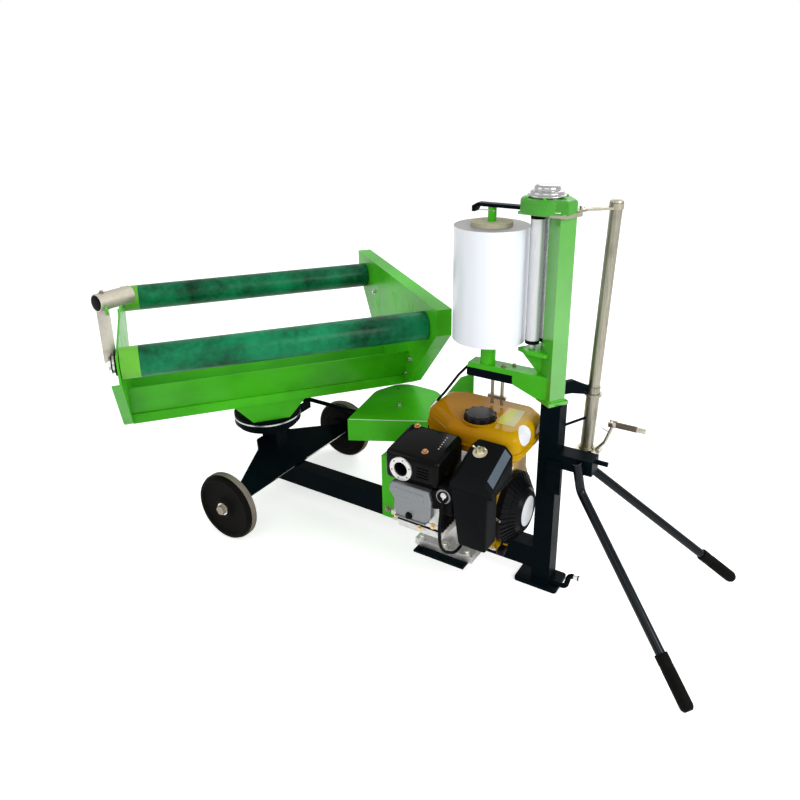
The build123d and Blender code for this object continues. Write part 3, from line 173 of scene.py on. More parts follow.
bpy.ops.mesh.primitive_plane_add(size=30, location=(-0.4, 0.5, -0.0005))
floor = bpy.context.object
floor.name = "floor"
floor_finish, floor_shader = new_finish("floor_white")[:2]
floor_shader.inputs["Base Color"].default_value = (0.86, 0.86, 0.86, 1)
floor_shader.inputs["Roughness"].default_value = 0.9
floor_shader.inputs["Specular IOR Level"].default_value = 0.1
floor_shader.inputs["Emission Strength"].default_value = 1.0
floor_glow = 0.54
direct, mirrored, passed = kinds_of_rays(floor_finish.node_tree)
feed(floor_shader, "Emission Color", direct.most(mirrored).most(passed) * floor_glow)
floor.data.materials.append(floor_finish)

world = bpy.data.worlds.new("studio_white")
bpy.context.scene.world = world
world.use_nodes = True
sky = world.node_tree.nodes["Background"]
sky.inputs["Color"].default_value = (1, 1, 1, 1)
sky_light = 0.58
mirrored_light = 0.9
direct, mirrored, passed = kinds_of_rays(world.node_tree)
feed(sky, "Strength", direct.most(passed).most(mirrored * mirrored_light).most(sky_light))

# Columns: name, place, aim, side in metres, power in watts
lamps = (
    ("key", (2.5, -0.7, 2.0), (-0.3, 0.0, 0.4), 1.6, 66),
    ("front", (0.6, -3.0, 2.6), (-0.4, 0.0, 0.3), 2.0, 18),
    ("fill", (-3.0, -2.2, 2.2), (-0.6, 0.0, 0.4), 2.4, 30),
    ("back", (-0.6, 3.2, 2.8), (-0.5, 0.0, 0.4), 2.4, 45),
)
for name, place, aim, side, power in lamps:
    bpy.ops.object.light_add(type="AREA", location=place)
    lamp = bpy.context.object
    lamp.name = f"lamp_{name}"
    lamp.data.shape = "SQUARE"
    lamp.data.size = side
    lamp.data.energy = power
    lamp.rotation_mode = "QUATERNION"
    lamp.rotation_quaternion = (Vector(aim) - Vector(place)).to_track_quat("-Z", "Y")


# Base: rectangular steel beam, square post and foot plate, welded and sprayed in one very dark
# blue-black enamel that has picked up yard dust.
def shade(colour, grow=1.0, lift=0.0):
    """A colour made brighter or darker, with an alpha of one."""
    return (*(min(1, part * grow + lift) for part in colour), 1)


def emboss(shader, height, strength, distance):
    """Gives a finish bumps from a height in its nodes."""
    sizes = {"Height": height, "Strength": strength, "Distance": distance}
    feed(shader, "Normal", height.node("ShaderNodeBump", sizes))


def enamel(name, colour, dusty, gloss=0.3, patchy=0.12, shine=0.15, lacquer=0.0, matt=0.3):
    """Sprayed paint: uneven in tone, with a fine orange peel and dust that dulls its gloss."""
    dust = (0.42, 0.40, 0.36, 1)
    finish, shader, place = new_finish(name)
    cloudy = place.noise(5.5, 4.0)
    speckled = place.noise(160.0, 6.0, 0.7)
    worn = place.noise(22.0, 8.0)
    deep = shade(colour, 1 - 1.6 * patchy)
    bright = shade(colour, 1 + patchy)
    tone = cloudy.ramp((0.35, deep), (0.65, bright))
    film = (worn * 0.6 + speckled * 0.4).spread(0.5, 0.75)
    feed(shader, "Base Color", (film * dusty).mix(tone, dust))
    feed(shader, "Roughness", gloss + film * matt + cloudy * 0.08)
    shader.inputs["Specular IOR Level"].default_value = shine
    shader.inputs["Coat Weight"].default_value = lacquer
    shader.inputs["Coat Roughness"].default_value = 0.1
    emboss(shader, speckled + worn * 0.5, 0.10, 0.0006)
    return finish


def coat(names, finish):
    """Gives CAD nodes a finish all over."""
    for name in names:
        mesh = nodes[name].data
        mesh.materials.clear()
        mesh.materials.append(finish)


dark_enamel = enamel("dark_enamel", (0.0016, 0.0045, 0.0066), 0.003, shine=0.016)
coat(["base_beam", "post", "post_foot", "pedestal"], dark_enamel)


def lathe(name, profile, centre, axis, finish=None, body=None, segments=72, hollow=False):
    """A turned piece: a ring is extruded through pairs of radius and distance along the axis."""
    bpy.ops.object.select_all(action="DESELECT")
    radius, station = profile[0]
    bpy.ops.mesh.primitive_circle_add(
        vertices=segments, radius=radius, location=(0, 0, 0), fill_type="NOTHING"
    )
    piece = bpy.context.object
    bpy.ops.object.mode_set(mode="EDIT")
    bpy.ops.mesh.select_all(action="SELECT")
    bpy.ops.transform.translate(value=(0, 0, station))
    if not hollow:
        bpy.ops.mesh.edge_face_add()
    for next_radius, next_station in profile[1:]:
        bpy.ops.mesh.extrude_region_move(
            TRANSFORM_OT_translate={"value": (0, 0, next_station - station)}
        )
        grow = next_radius / radius
        bpy.ops.transform.resize(value=(grow, grow, 1), center_override=(0, 0, next_station))
        radius, station = next_radius, next_station
    bpy.ops.mesh.select_all(action="SELECT")
    bpy.ops.mesh.remove_doubles(threshold=0.00001)
    bpy.ops.mesh.normals_make_consistent(inside=False)
    bpy.ops.object.mode_set(mode="OBJECT")
    piece.rotation_mode = "QUATERNION"
    piece.rotation_quaternion = Vector(axis).to_track_quat("Z", "Y")
    piece.location = centre
    if body:
        settle(piece, name, finish, body)
    return piece


def ring(name, inside, outside, start, end, centre, axis, finish, body):
    """A flat ring between two radii and two distances along its axis."""
    profile = ((inside, start), (outside, start), (outside, end), (inside, end), (inside, start))
    return lathe(name, profile, centre, axis, finish, body, hollow=True)


def rod(name, start, end, radius, finish, body, segments=24):
    """A straight round bar between two points, with softened ends."""
    start = Vector(start)
    end = Vector(end)
    length = (end - start).length
    rim = 0.15 * radius
    profile = (
        (0.5 * radius, 0.0),
        (radius - rim, 0.0),
        (radius, rim),
        (radius, length - rim),
        (radius - rim, length),
        (0.5 * radius, length),
    )
    return lathe(name, profile, start, end - start, finish, body, segments)


def settle(piece, name, finish, body):
    """Ends a piece: its place goes into its mesh, it gets its finish, and it rides on a body."""
    bpy.ops.object.select_all(action="DESELECT")
    piece.select_set(True)
    bpy.context.view_layer.objects.active = piece
    bpy.ops.object.transform_apply(location=True, rotation=True, scale=True)
    bpy.ops.object.shade_smooth_by_angle(angle=math.radians(35))
    piece.name = name
    piece.data.name = name
    piece.data.materials.clear()
    piece.data.materials.append(finish)
    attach(piece, body)
    return piece


# Hook on the post's foot: a bent steel wire, welded to the plate and sprayed with it. Its round
# tip is worn to pale bare steel.
def metal(
    name,
    colour,
    rough,
    scale=(30.0, 30.0, 30.0),
    streak=0.12,
    stain=(0.20, 0.10, 0.05, 1),
    stained=0.0,
    deep=0.78,
):
    """Bare or plated steel: long scratches, uneven polish, and stains where it has aged."""
    finish, shader, place = new_finish(name)
    scratches = place.stretch(scale).noise(9.0, 8.0, 0.7)
    tone = scratches.ramp((0.3, shade(colour, deep)), (0.7, shade(colour)))
    mask = place.noise(26.0, 7.0).spread(0.52, 0.66)
    feed(shader, "Base Color", (mask * stained).mix(tone, stain))
    feed(shader, "Metallic", 1 - mask * stained)
    feed(shader, "Roughness", rough + scratches * streak + mask * (0.4 * stained))
    emboss(shader, scratches, 0.12, 0.0004)
    return finish


bare_steel = metal("bare_steel", (0.78, 0.76, 0.72), 0.3)
lathe(
    "hook_tip",
    ((0.0015, 0.0002), (0.0040, 0.0004), (0.0056, 0.0016), (0.0063, 0.0040), (0.0063, 0.0120)),
    (0.0895, -0.012, 0.045),
    (-1, 0, 0),
    bare_steel,
    "base",
    segments=32,
)

# Weld seams: beads where the post stands on its foot, and where the beam meets the post. They
# were sprayed together with the base.
weld_spots = (
    ("weld_front", (-0.022, -0.022, 0.009), (0.022, -0.022, 0.009)),
    ("weld_rear", (-0.022, 0.022, 0.009), (0.022, 0.022, 0.009)),
    ("weld_right", (0.022, -0.022, 0.009), (0.022, 0.022, 0.009)),
    ("weld_beam_near", (-0.022, -0.022, 0.041), (-0.022, -0.022, 0.095)),
    ("weld_beam_far", (-0.022, 0.022, 0.041), (-0.022, 0.022, 0.095)),
)
for name, start, end in weld_spots:
    rod(name, start, end, 0.0022, dark_enamel, "base", 12)

# Wheel carrier: sloping steel plate in the same enamel, welded across the beam. The bare steel
# beads along its front edge on both sides of the beam are a painted highlight.
coat(["axle_frame"], dark_enamel)
edge_x = -0.7352
edge_height = 0.0989
for name, start, end, radius in (
    ("carrier_highlight", 0.030, 0.219, 0.0012),
    ("carrier_highlight_near", -0.105, -0.024, 0.0008),
):
    rod(
        name,
        (edge_x, start, edge_height),
        (edge_x, end, edge_height),
        radius,
        bare_steel,
        "base",
        10,
    )


# Wheels: solid black moulded wheels with a dusty tread. They turn on steel pins with rusty
# hexagon heads over bright washers.
def moulded(name, colour, rough, grain=260.0, deep=0.25, shine=0.03):
    """Moulded rubber or plastic: a fine grain, and a little pale dust in it."""
    finish, shader, place = new_finish(name)
    grainy = place.noise(grain, 5.0, 0.65)
    cloudy = place.noise(14.0, 5.0)
    pale = shade(colour, 1.5, 0.001)
    tone = (cloudy * 0.6 + grainy * 0.4).ramp((0.4, shade(colour)), (0.72, pale))
    feed(shader, "Base Color", tone)
    feed(shader, "Roughness", rough + cloudy * 0.15)
    shader.inputs["Specular IOR Level"].default_value = shine
    emboss(shader, grainy, deep, 0.0005)
    return finish


wheel_black = moulded("wheel_black", (0.0034, 0.0031, 0.0027), 0.5)
tread_dusty = moulded("tread_dusty", (0.16, 0.14, 0.11), 0.85, grain=60.0, deep=0.6, shine=0.05)
rusty_steel = metal("rusty_steel", (0.36, 0.30, 0.25), 0.45, stained=0.8)
coat(["wheel_pins"], rusty_steel)
axle_x = -0.765
wheel_outside = 0.2725
wheel_radius = 0.090
# Columns: radius, distance inwards from the outer face
wheel_profile = (
    (0.010, 0.036),
    (0.062, 0.036),
    (0.066, 0.032),
    (0.080, 0.031),
    (0.0885, 0.027),
    (0.0885, 0.011),
    (0.086, 0.004),
    (0.081, 0.0005),
    (0.076, 0.0),
    (0.0735, 0.0012),
    (0.0715, 0.0045),
    (0.067, 0.0062),
    (0.030, 0.0062),
    (0.024, 0.0015),
    (0.017, 0.0008),
    (0.010, 0.0008),
)
tread_profile = (
    (0.086, 0.030),
    (0.0897, 0.0275),
    (0.0899, 0.020),
    (0.0897, 0.0125),
    (0.086, 0.010),
    (0.086, 0.030),
)
for side, sign in (("near", -1), ("far", 1)):
    body = f"wheel_{side}"
    face = (axle_x, sign * wheel_outside, wheel_radius)
    inwards = (0, -sign, 0)
    hub = lathe(f"wheel_body_{side}", wheel_profile, face, inwards, wheel_black, body)
    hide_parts(f"wheel_{side}")
    lathe(
        f"wheel_tread_{side}", tread_profile, face, inwards, tread_dusty, body, hollow=True
    )
    ring(
        f"hub_washer_{side}", 0.0128, 0.0165, -0.0032, -0.0002, face, inwards, bare_steel, "base"
    )

# Turntable bearing on its pedestal: a dark cast housing with a bright turned rim, and the dark
# disc that turns on it.
bright_steel = metal("bright_steel", (0.62, 0.62, 0.61), 0.22)
coat(["bearing_housing", "table"], dark_enamel)
coat(["bearing_rim"], bright_steel)

# Cradle and its saddle: folded sheets between two end pans, welded together and sprayed in
# light green enamel.
cradle_green = (0.055, 0.46, 0.008)
green_enamel = enamel("green_enamel", cradle_green, 0.012, gloss=0.26, patchy=0.14)
coat(["saddle", "trough_floor", "trough_sides", "end_pan_right", "end_pan_left"], green_enamel)

# Pan bolts: flanged steel bolts that hold the end pans to the trough, and the saddle under it
# to the table. Those on the left and underneath are rusty.
cradle_middle = Vector((-0.844, 0, 0))
cradle_turn = math.radians(51.1)
cradle_along = Vector((math.cos(cradle_turn), math.sin(cradle_turn), 0))
cradle_across = Vector((-math.sin(cradle_turn), math.cos(cradle_turn), 0))


def cradle_spot(along, across, height):
    """A point of the cradle, from its middle: along the rollers, across them, and up, in metres."""
    return cradle_middle + cradle_along * along + cradle_across * across + Vector((0, 0, height))


def merge(parts):
    """Joins parts into one mesh and returns it."""
    bpy.ops.object.select_all(action="DESELECT")
    for part in parts:
        part.select_set(True)
    bpy.context.view_layer.objects.active = parts[0]
    bpy.ops.object.join()
    return bpy.context.object


def bolts(name, spots, axis, radius, tall, finish, body, sides=6):
    """Bolt heads with washers, all in one mesh: each is a short prism on a thin round disc."""
    way = Vector(axis).normalized()
    washer_radius = 1.45 * radius
    washer_tall = 0.22 * tall
    head_tall = 0.78 * tall
    made = []
    for spot in spots:
        for corners, wide, start, length in (
            (24, washer_radius, 0.0, washer_tall),
            (sides, radius, washer_tall, head_tall),
        ):
            bpy.ops.object.select_all(action="DESELECT")
            bpy.ops.mesh.primitive_cylinder_add(vertices=corners, radius=wide, depth=length)
            part = bpy.context.object
            part.rotation_mode = "QUATERNION"
            part.rotation_quaternion = way.to_track_quat("Z", "Y")
            part.location = Vector(spot) + way * (start + length / 2)
            bpy.ops.object.mode_set(mode="EDIT")
            bpy.ops.mesh.select_all(action="SELECT")
            bpy.ops.mesh.bevel(offset=0.10 * length, segments=2, affect="EDGES")
            bpy.ops.object.mode_set(mode="OBJECT")
            made.append(part)
    return settle(merge(made), name, finish, body)


right_pan_holes = (
    (-0.175, 0.500),
    (-0.150, 0.395),
    (-0.110, 0.340),
    (0.110, 0.340),
    (0.150, 0.395),
    (0.175, 0.500),
)
for name, along, holes, finish in (
    ("pan_bolts_right", 0.380, right_pan_holes, bright_steel),
    ("pan_bolts_left", -0.357, right_pan_holes[1:-1], rusty_steel),
):
    spots = [cradle_spot(along, across, height) for across, height in holes]
    bolts(name, spots, -cradle_along, 0.006, 0.006, finish, "turntable")
bolts(
    "saddle_bolts",
    [
        cradle_spot(along, across, 0.297)
        for along in (-0.108, 0.108)
        for across in (-0.068, 0.068)
    ],
    (0, 0, -1),
    0.006,
    0.006,
    rusty_steel,
    "turntable",
)

# Weld beads along the folds of the cradle, between the lip of its floor and the side panels,
# sprayed together with them.
for name, across in (("cradle_weld_near", -0.0862), ("cradle_weld_far", 0.0862)):
    rod(
        name,
        cradle_spot(-0.350, across, 0.3215),
        cradle_spot(0.378, across, 0.3215),
        0.0022,
        green_enamel,
        "turntable",
        12,
    )

# Bale rollers: steel drums with a glossy dark green rubber sleeve and a light green collar. Black
# seals and bright nuts close their ends.
light_green_enamel = enamel("light_green_enamel", (0.13, 0.44, 0.040), 0.02, gloss=0.28)
coat(["roller_front", "roller_rear"], light_green_enamel)
coat(["roller_rods"], bright_steel)


def sleeve_finish():
    """Green rubber: deep emerald that turns nearly black in broad patches."""
    finish, shader, place = new_finish("sleeve_green")
    patches = place.noise(7.5, 5.0, 0.6)
    fine = place.noise(70.0, 6.0)
    tone = (patches * 0.8 + fine * 0.2).ramp(
        (0.36, (0.0012, 0.035, 0.015, 1)),
        (0.50, (0.0030, 0.130, 0.050, 1)),
        (0.66, (0.0060, 0.250, 0.100, 1)),
    )
    feed(shader, "Base Color", tone)
    feed(shader, "Roughness", 0.24 + patches * 0.2)
    shader.inputs["Specular IOR Level"].default_value = 0.14
    emboss(shader, fine + patches, 0.2, 0.0008)
    return finish


coat(["roller_sleeve_front", "roller_sleeve_rear"], sleeve_finish())
seal_black = moulded("seal_black", (0.004, 0.004, 0.004), 0.4)
for side, across, station in (("front", -0.267, 0.362), ("rear", 0.267, 0.357)):
    ring(
        f"roller_seal_{side}",
        0.0135,
        0.0205,
        station + 0.0048,
        station + 0.0075,
        cradle_spot(0, across, 0.532),
        -cradle_along,
        seal_black,
        "turntable",
    )

# Film clamp: zinc-plated strap and round bar on the left end of the cradle. The gusset beside the
# strap's top is sprayed green with the cradle.
zinc = metal(
    "zinc",
    (0.42, 0.39, 0.31),
    0.32,
    scale=(40.0, 40.0, 5.0),
    stained=0.3,
    stain=(0.20, 0.16, 0.09, 1),
)
bar_zinc = metal(
    "bar_zinc", (0.62, 0.58, 0.48), 0.36, stained=0.2, stain=(0.30, 0.25, 0.16, 1)
)
coat(["clamp_bar"], bar_zinc)
strap_zinc = metal("strap_zinc", (0.50, 0.48, 0.41), 0.34, stained=0.2)


def slab(low_corner, high_corner):
    """A box between two corners, active and alone in the selection."""
    low_corner = Vector(low_corner)
    high_corner = Vector(high_corner)
    bpy.ops.object.select_all(action="DESELECT")
    bpy.ops.mesh.primitive_cube_add(size=1, location=(low_corner + high_corner) / 2)
    piece = bpy.context.object
    piece.scale = high_corner - low_corner
    bpy.ops.object.transform_apply(location=True, rotation=True, scale=True)
    return piece


def soften(piece, width, segments=2):
    """Rounds all the sharp edges of a piece."""
    rounding = piece.modifiers.new("rounding", "BEVEL")
    rounding.width = width
    rounding.segments = segments
    rounding.limit_method = "ANGLE"
    bpy.context.view_layer.objects.active = piece
    bpy.ops.object.modifier_apply(modifier="rounding")
    return piece


def trim(piece, point, out):
    """Cuts a closed piece by a plane, drops what lies outside it and closes the cut."""
    bpy.ops.object.select_all(action="DESELECT")
    piece.select_set(True)
    bpy.context.view_layer.objects.active = piece
    bpy.ops.object.mode_set(mode="EDIT")
    bpy.ops.mesh.select_all(action="SELECT")
    bpy.ops.mesh.bisect(plane_co=point, plane_no=out, use_fill=True, clear_outer=True)
    bpy.ops.object.mode_set(mode="OBJECT")
    return piece


def unplug(shader, name):
    """Takes off what feeds one of a shader's sockets, and returns it."""
    tree = shader.id_data
    link = shader.inputs[name].links[0]
    dye = Dye(tree, link.from_socket)
    tree.links.remove(link)
    return dye


def spray_gusset(finish):
    """Mixes green paint into a metal finish outside the strap's edge, across the cradle."""
    shader = finish.node_tree.nodes["Principled BSDF"]
    place = place_in(finish.node_tree)
    gusset_edge = cradle_middle.dot(cradle_across) - 0.2570
    gusset_foot = 0.60
    across = place.node(
        "ShaderNodeVectorMath",
        {0: place, 1: tuple(cradle_across)},
        give="Value",
        operation="DOT_PRODUCT",
    )
    outside = place.work_out("LESS_THAN", across, gusset_edge)
    painted = outside * (place.part("Z") > gusset_foot)
    paint = painted.mix(unplug(shader, "Base Color"), shade(cradle_green))
    feed(shader, "Base Color", paint)
    feed(shader, "Metallic", unplug(shader, "Metallic") * (1 - painted))
    return finish


lathe(
    "strap_eye",
    (
        (0.004, 0.0),
        (0.0262, 0.0),
        (0.0270, 0.0008),
        (0.0270, 0.0042),
        (0.0262, 0.0050),
        (0.004, 0.0050),
    ),
    cradle_spot(-0.357, -0.267, 0.532),
    -cradle_along,
    seal_black,
    "turntable",
    segments=48,
)
cradle_place = Matrix.Translation(cradle_middle) @ Matrix.Rotation(cradle_turn, 4, "Z")
strap_band = slab((-0.3840, -0.2560, 0.5330), (-0.3570, -0.2510, 0.6660))
strap_band.matrix_world = cradle_place
strap_band = soften(strap_band, 0.001)
strap_fin = slab((-0.3640, -0.2790, 0.6420), (-0.3590, -0.2550, 0.6700))
strap_fin = trim(strap_fin, (-0.3600, -0.2790, 0.6620), (0, -0.020, -0.024))
strap_fin.matrix_world = cradle_place
strap_fin = soften(strap_fin, 0.0008, 1)
strap_finish = spray_gusset(strap_zinc)
strap_shell = settle(merge([strap_band, strap_fin]), "strap_shell", strap_finish, "turntable")
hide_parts("clamp_strap")
bar_slant = math.radians(35.6)
bar_way = cradle_along * math.cos(bar_slant) + cradle_across * math.sin(bar_slant)
bar_middle = cradle_spot(-0.3595, -0.250, 0.676)
bolts(
    "clamp_bolt",
    [bar_middle - bar_way * 0.010 + Vector((0, 0, 0.0195))],
    (0, 0, 1),
    0.0045,
    0.005,
    rusty_steel,
    "turntable",
)
lathe(
    "clamp_bar_plug",
    ((0.004, 0.0), (0.0165, 0.0), (0.0180, 0.0008), (0.0180, 0.0030)),
    bar_middle - bar_way * 0.0268,
    bar_way,
    seal_black,
    "turntable",
    segments=40,
)

# Drive: a green sheet guard over the belt, held by screws, and a dark shaft to the turntable. The
# pale bead along the guard's folded front edge is a painted highlight.
coat(["drive_guard"], green_enamel)
coat(["drive_shaft", "shaft_bracket"], dark_enamel)
edge_highlight_paint = enamel("edge_highlight_paint", (0.62, 0.80, 0.55), 0.02)
rod(
    "guard_edge_highlight",
    (-0.557, 0.0022, 0.2798),
    (-0.352, 0.1072, 0.2798),
    0.0010,
    edge_highlight_paint,
    "base",
    10,
)
bolts("guard_screw", [(-0.4895, 0.143, 0.280)], (0, 0, 1), 0.0052, 0.007, bright_steel, "base")
# A black disc on the guard's top is painted shade in its hole.
lathe(
    "guard_hole_shade",
    ((0.0006, 0.0), (0.0028, 0.0), (0.0030, 0.0002), (0.0028, 0.0005), (0.0006, 0.0005)),
    (-0.549, 0.235, 0.2799),
    (0, 0, 1),
    seal_black,
    "base",
    segments=20,
)
bolts(
    "guard_leg_bolts",
    [(-0.42, -0.027, 0.068), (-0.362, -0.027, 0.068)],
    (0, -1, 0),
    0.006,
    0.006,
    rusty_steel,
    "base",
)

# Engine case: cast aluminium block on a dark plate across the beam. A pale head flange, a black
# gasket line and bolts close the cylinder, whose cooling fins are black.
coat(["engine_plate"], dark_enamel)
cast_aluminium = metal(
    "cast_aluminium", (0.62, 0.62, 0.61), 0.42, stained=0.25, stain=(0.30, 0.29, 0.27, 1)
)
coat(["crankcase"], cast_aluminium)


def block(name, low_corner, high_corner, rounding, finish, segments=2):
    """A box on the base between two corners, with rounded edges."""
    piece = soften(slab(low_corner, high_corner), rounding, segments)
    return settle(piece, name, finish, "base")


fins_black = moulded("fins_black", (0.004, 0.004, 0.0045), 0.4)
fin_count = 9
fin_step = 0.0115
fins = []
for index in range(fin_count):
    station = -0.226 + fin_step * index
    fin = slab((-0.272, station, 0.212), (-0.146, station + 0.0028, 0.298))
    fins.append(soften(fin, 0.0008, 1))
settle(merge(fins), "cylinder_fins", fins_black, "base")
flange = [
    soften(slab((-0.272, -0.2375, 0.2215), (-0.150, -0.229, 0.2325)), 0.002),
    soften(slab((-0.270, -0.2360, 0.2080), (-0.158, -0.226, 0.2160)), 0.002),
    soften(slab((-0.262, -0.2250, 0.1900), (-0.150, -0.130, 0.2090)), 0.003),
]
settle(merge(flange), "head_flange", cast_aluminium, "base")
block("head_gasket", (-0.268, -0.2365, 0.2150), (-0.154, -0.226, 0.2225), 0.001, fins_black, 1)
brass = metal("brass", (0.80, 0.58, 0.28), 0.3)
bolts(
    "head_bolts",
    [(-0.258, -0.2372, 0.2245), (-0.166, -0.2372, 0.2270), (-0.200, -0.2358, 0.2115)],
    (0, -1, 0),
    0.0042,
    0.005,
    brass,
    "base",
)
bolts(
    "case_bolts",
    [(-0.240, -0.130, 0.150), (-0.240, -0.130, 0.200), (-0.130, -0.130, 0.200)],
    (0, -1, 0),
    0.0048,
    0.006,
    bright_steel,
    "base",
)
bolts(
    "foot_bolts",
    [
        (-0.244, -0.149, 0.118),
        (-0.184, -0.149, 0.118),
        (-0.128, -0.149, 0.118),
        (-0.235, 0.033, 0.118),
        (-0.135, 0.033, 0.118),
    ],
    (0, 0, 1),
    0.0062,
    0.008,
    bare_steel,
    "base",
)
bolts(
    "plate_bolts",
    [(x, y, 0.101) for y in (-0.170, 0.048) for x in (-0.238, -0.134)],
    (0, 0, 1),
    0.0045,
    0.005,
    dark_enamel,
    "base",
)
lathe(
    "oil_filler",
    (
        (0.003, 0.0),
        (0.0135, 0.0),
        (0.0150, 0.0020),
        (0.0150, 0.0090),
        (0.0125, 0.0110),
        (0.003, 0.0110),
    ),
    (-0.205, -0.129, 0.165),
    (0, -1, 0.15),
    fins_black,
    "base",
    segments=36,
)

# Rocker cover: grey casting with a raised blank panel and a rolled rim, held on the head by one
# dark screw.
cover_grey = metal("cover_grey", (0.24, 0.25, 0.26), 0.45, streak=0.06)
coat(["rocker_cover"], cover_grey)
block("cover_panel", (-0.256, -0.2532, 0.287), (-0.180, -0.2490, 0.305), 0.0016, cover_grey, 3)
block("cover_rim", (-0.2515, -0.2545, 0.2345), (-0.1760, -0.2360, 0.2385), 0.0012, cover_grey)
bolts(
    "cover_screw",
    [(-0.2165, -0.2520, 0.2455)],
    (0, -1, 0),
    0.0058,
    0.006,
    fins_black,
    "base",
    12,
)

# Spark plug: a steel cap in a round grey shroud, set in a black duct beside the head. Its black
# lead hangs down to the crankcase. The throttle's black cable ends in steel and brass.
block("plug_duct", (-0.158, -0.2350, 0.262), (-0.122, -0.1880, 0.328), 0.006, fins_black, 3)
lathe(
    "duct_disc",
    ((0.004, 0.0), (0.0190, 0.0), (0.0210, 0.0020), (0.0210, 0.0100), (0.004, 0.0100)),
    (-0.1600, -0.2300, 0.2960),
    (0.2, -1, 0),
    fins_black,
    "base",
    segments=40,
)
shroud_spot = Vector((-0.1420, -0.2340, 0.3080))
shroud_way = Vector((0.1, -1, 0)).normalized()
plug_turnings = (
    (
        "plug_shroud",
        (
            (0.004, 0.0),
            (0.0158, 0.0),
            (0.0165, 0.0008),
            (0.0165, 0.0035),
            (0.0155, 0.0045),
            (0.004, 0.0045),
        ),
        shroud_spot,
        cover_grey,
        40,
    ),
    (
        "plug_boot",
        ((0.004, 0.0), (0.0125, 0.0), (0.0125, 0.0020), (0.0110, 0.0032), (0.004, 0.0032)),
        shroud_spot + shroud_way * 0.0045,
        fins_black,
        40,
    ),
    (
        "plug_cap",
        (
            (0.002, 0.0),
            (0.0062, 0.0),
            (0.0066, 0.002),
            (0.0066, 0.004),
            (0.0050, 0.0055),
            (0.002, 0.0060),
        ),
        shroud_spot + shroud_way * 0.0070 + Vector((0.0035, 0, 0.0075)),
        bright_steel,
        32,
    ),
)
for name, profile, spot, finish, segments in plug_turnings:
    lathe(name, profile, spot, shroud_way, finish, "base", segments)
cord_black = moulded("cord_black", (0.004, 0.004, 0.004), 0.45)
coat(["spark_lead", "throttle_cable"], cord_black)
# Columns: name, start, end, radius, finish, sides
for name, start, end, radius, finish, sides in (
    ("plug_stem", (-0.1385, -0.242, 0.312), (-0.1405, -0.242, 0.288), 0.0021, bright_steel, 16),
    ("cable_end", (-0.283, -0.01, 0.4045), (-0.2985, -0.01, 0.3835), 0.0050, bright_steel, 20),
    ("cable_ferrule", (-0.2985, -0.01, 0.3838), (-0.3035, -0.01, 0.3680), 0.0038, brass, 20),
):
    rod(name, start, end, radius, finish, "base", sides)

# Muffler: pressed glossy black box with two copper bolts, a row of small vents and louvres beside
# the outlet. A pale flange frames the outlet; six small black discs on it are painted shade in its
# holes.
muffler_black = enamel(
    "muffler_black", (0.0020, 0.0024, 0.0020), 0.002, 0.05, shine=0.07, matt=0.04
)
outlet_spot = Vector((-0.244, -0.236, 0.344))
muffler_low = Vector((-0.288, -0.236, 0.309))
muffler_high = Vector((-0.154, -0.122, 0.397))
muffler_front_top = Vector((-0.220, -0.236, 0.378))
muffler_round = 0.013
muffler_box = trim(slab(muffler_low, muffler_high), muffler_front_top, (0, -0.019, 0.114))
muffler_box = soften(muffler_box, muffler_round, 5)
bpy.ops.mesh.primitive_cylinder_add(
    vertices=48,
    radius=0.0165,
    depth=0.052,
    location=outlet_spot,
    rotation=(math.pi / 2, 0, 0),
)
bore = bpy.context.object
outlet = muffler_box.modifiers.new("outlet", "BOOLEAN")
outlet.operation = "DIFFERENCE"
outlet.object = bore
bpy.context.view_layer.objects.active = muffler_box
bpy.ops.object.modifier_apply(modifier="outlet")
bpy.data.objects.remove(bore)
muffler_neck = soften(slab((-0.249, -0.204, 0.296), (-0.193, -0.154, 0.312)), 0.002)
muffler_shell = settle(merge([muffler_box, muffler_neck]), "muffler_shell", muffler_black, "base")
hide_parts("muffler")
coat(["outlet_ring"], metal("flange_grey", (0.72, 0.71, 0.69), 0.5, streak=0.05))
copper = metal("copper", (0.62, 0.34, 0.18), 0.35)
lid_slope = (0, -0.165, 1)
bolts(
    "muffler_bolts",
    [(-0.2646, -0.1342, 0.3944), (-0.2018, -0.2086, 0.3820)],
    lid_slope,
    0.0052,
    0.006,
    copper,
    "base",
)
vent_count = 6
vents = [
    lathe(
        "vent",
        ((0.0004, 0.0), (0.0017, 0.0), (0.0017, 0.0007), (0.0004, 0.0010)),
        (-0.1806 - 0.0004 * step, -0.1880 + 0.0082 * step, 0.3855 + 0.00136 * step),
        lid_slope,
        segments=12,
    )
    for step in range(vent_count)
]
settle(merge(vents), "muffler_vents", cast_aluminium, "base")
louvres = [
    soften(slab((-0.2070, -0.2385, height), (-0.1780, -0.2350, height + 0.0026)), 0.0010)
    for height in (0.3340, 0.3410, 0.3480, 0.3550)
]
settle(merge(louvres), "muffler_louvres", muffler_black, "base")
# Black discs on the flange: painted shade in its six small holes.
hole_count = 6
hole_circle = 0.0222
hole_profile = ((0.0004, 0.0), (0.0015, 0.0), (0.0015, 0.0006), (0.0004, 0.0006))
holes = []
for step in range(hole_count):
    angle = math.radians(360 / hole_count * step + 15)
    hole_spot = (
        outlet_spot.x + hole_circle * math.cos(angle),
        -0.2399,
        outlet_spot.z + hole_circle * math.sin(angle),
    )
    holes.append(lathe("hole", hole_profile, hole_spot, (0, -1, 0), segments=12))
settle(merge(holes), "outlet_hole_shade", seal_black, "base")
ring(
    "outlet_pipe", 0.0140, 0.0164, -0.018, 0.0015, outlet_spot, (0, -1, 0), seal_black, "base"
)

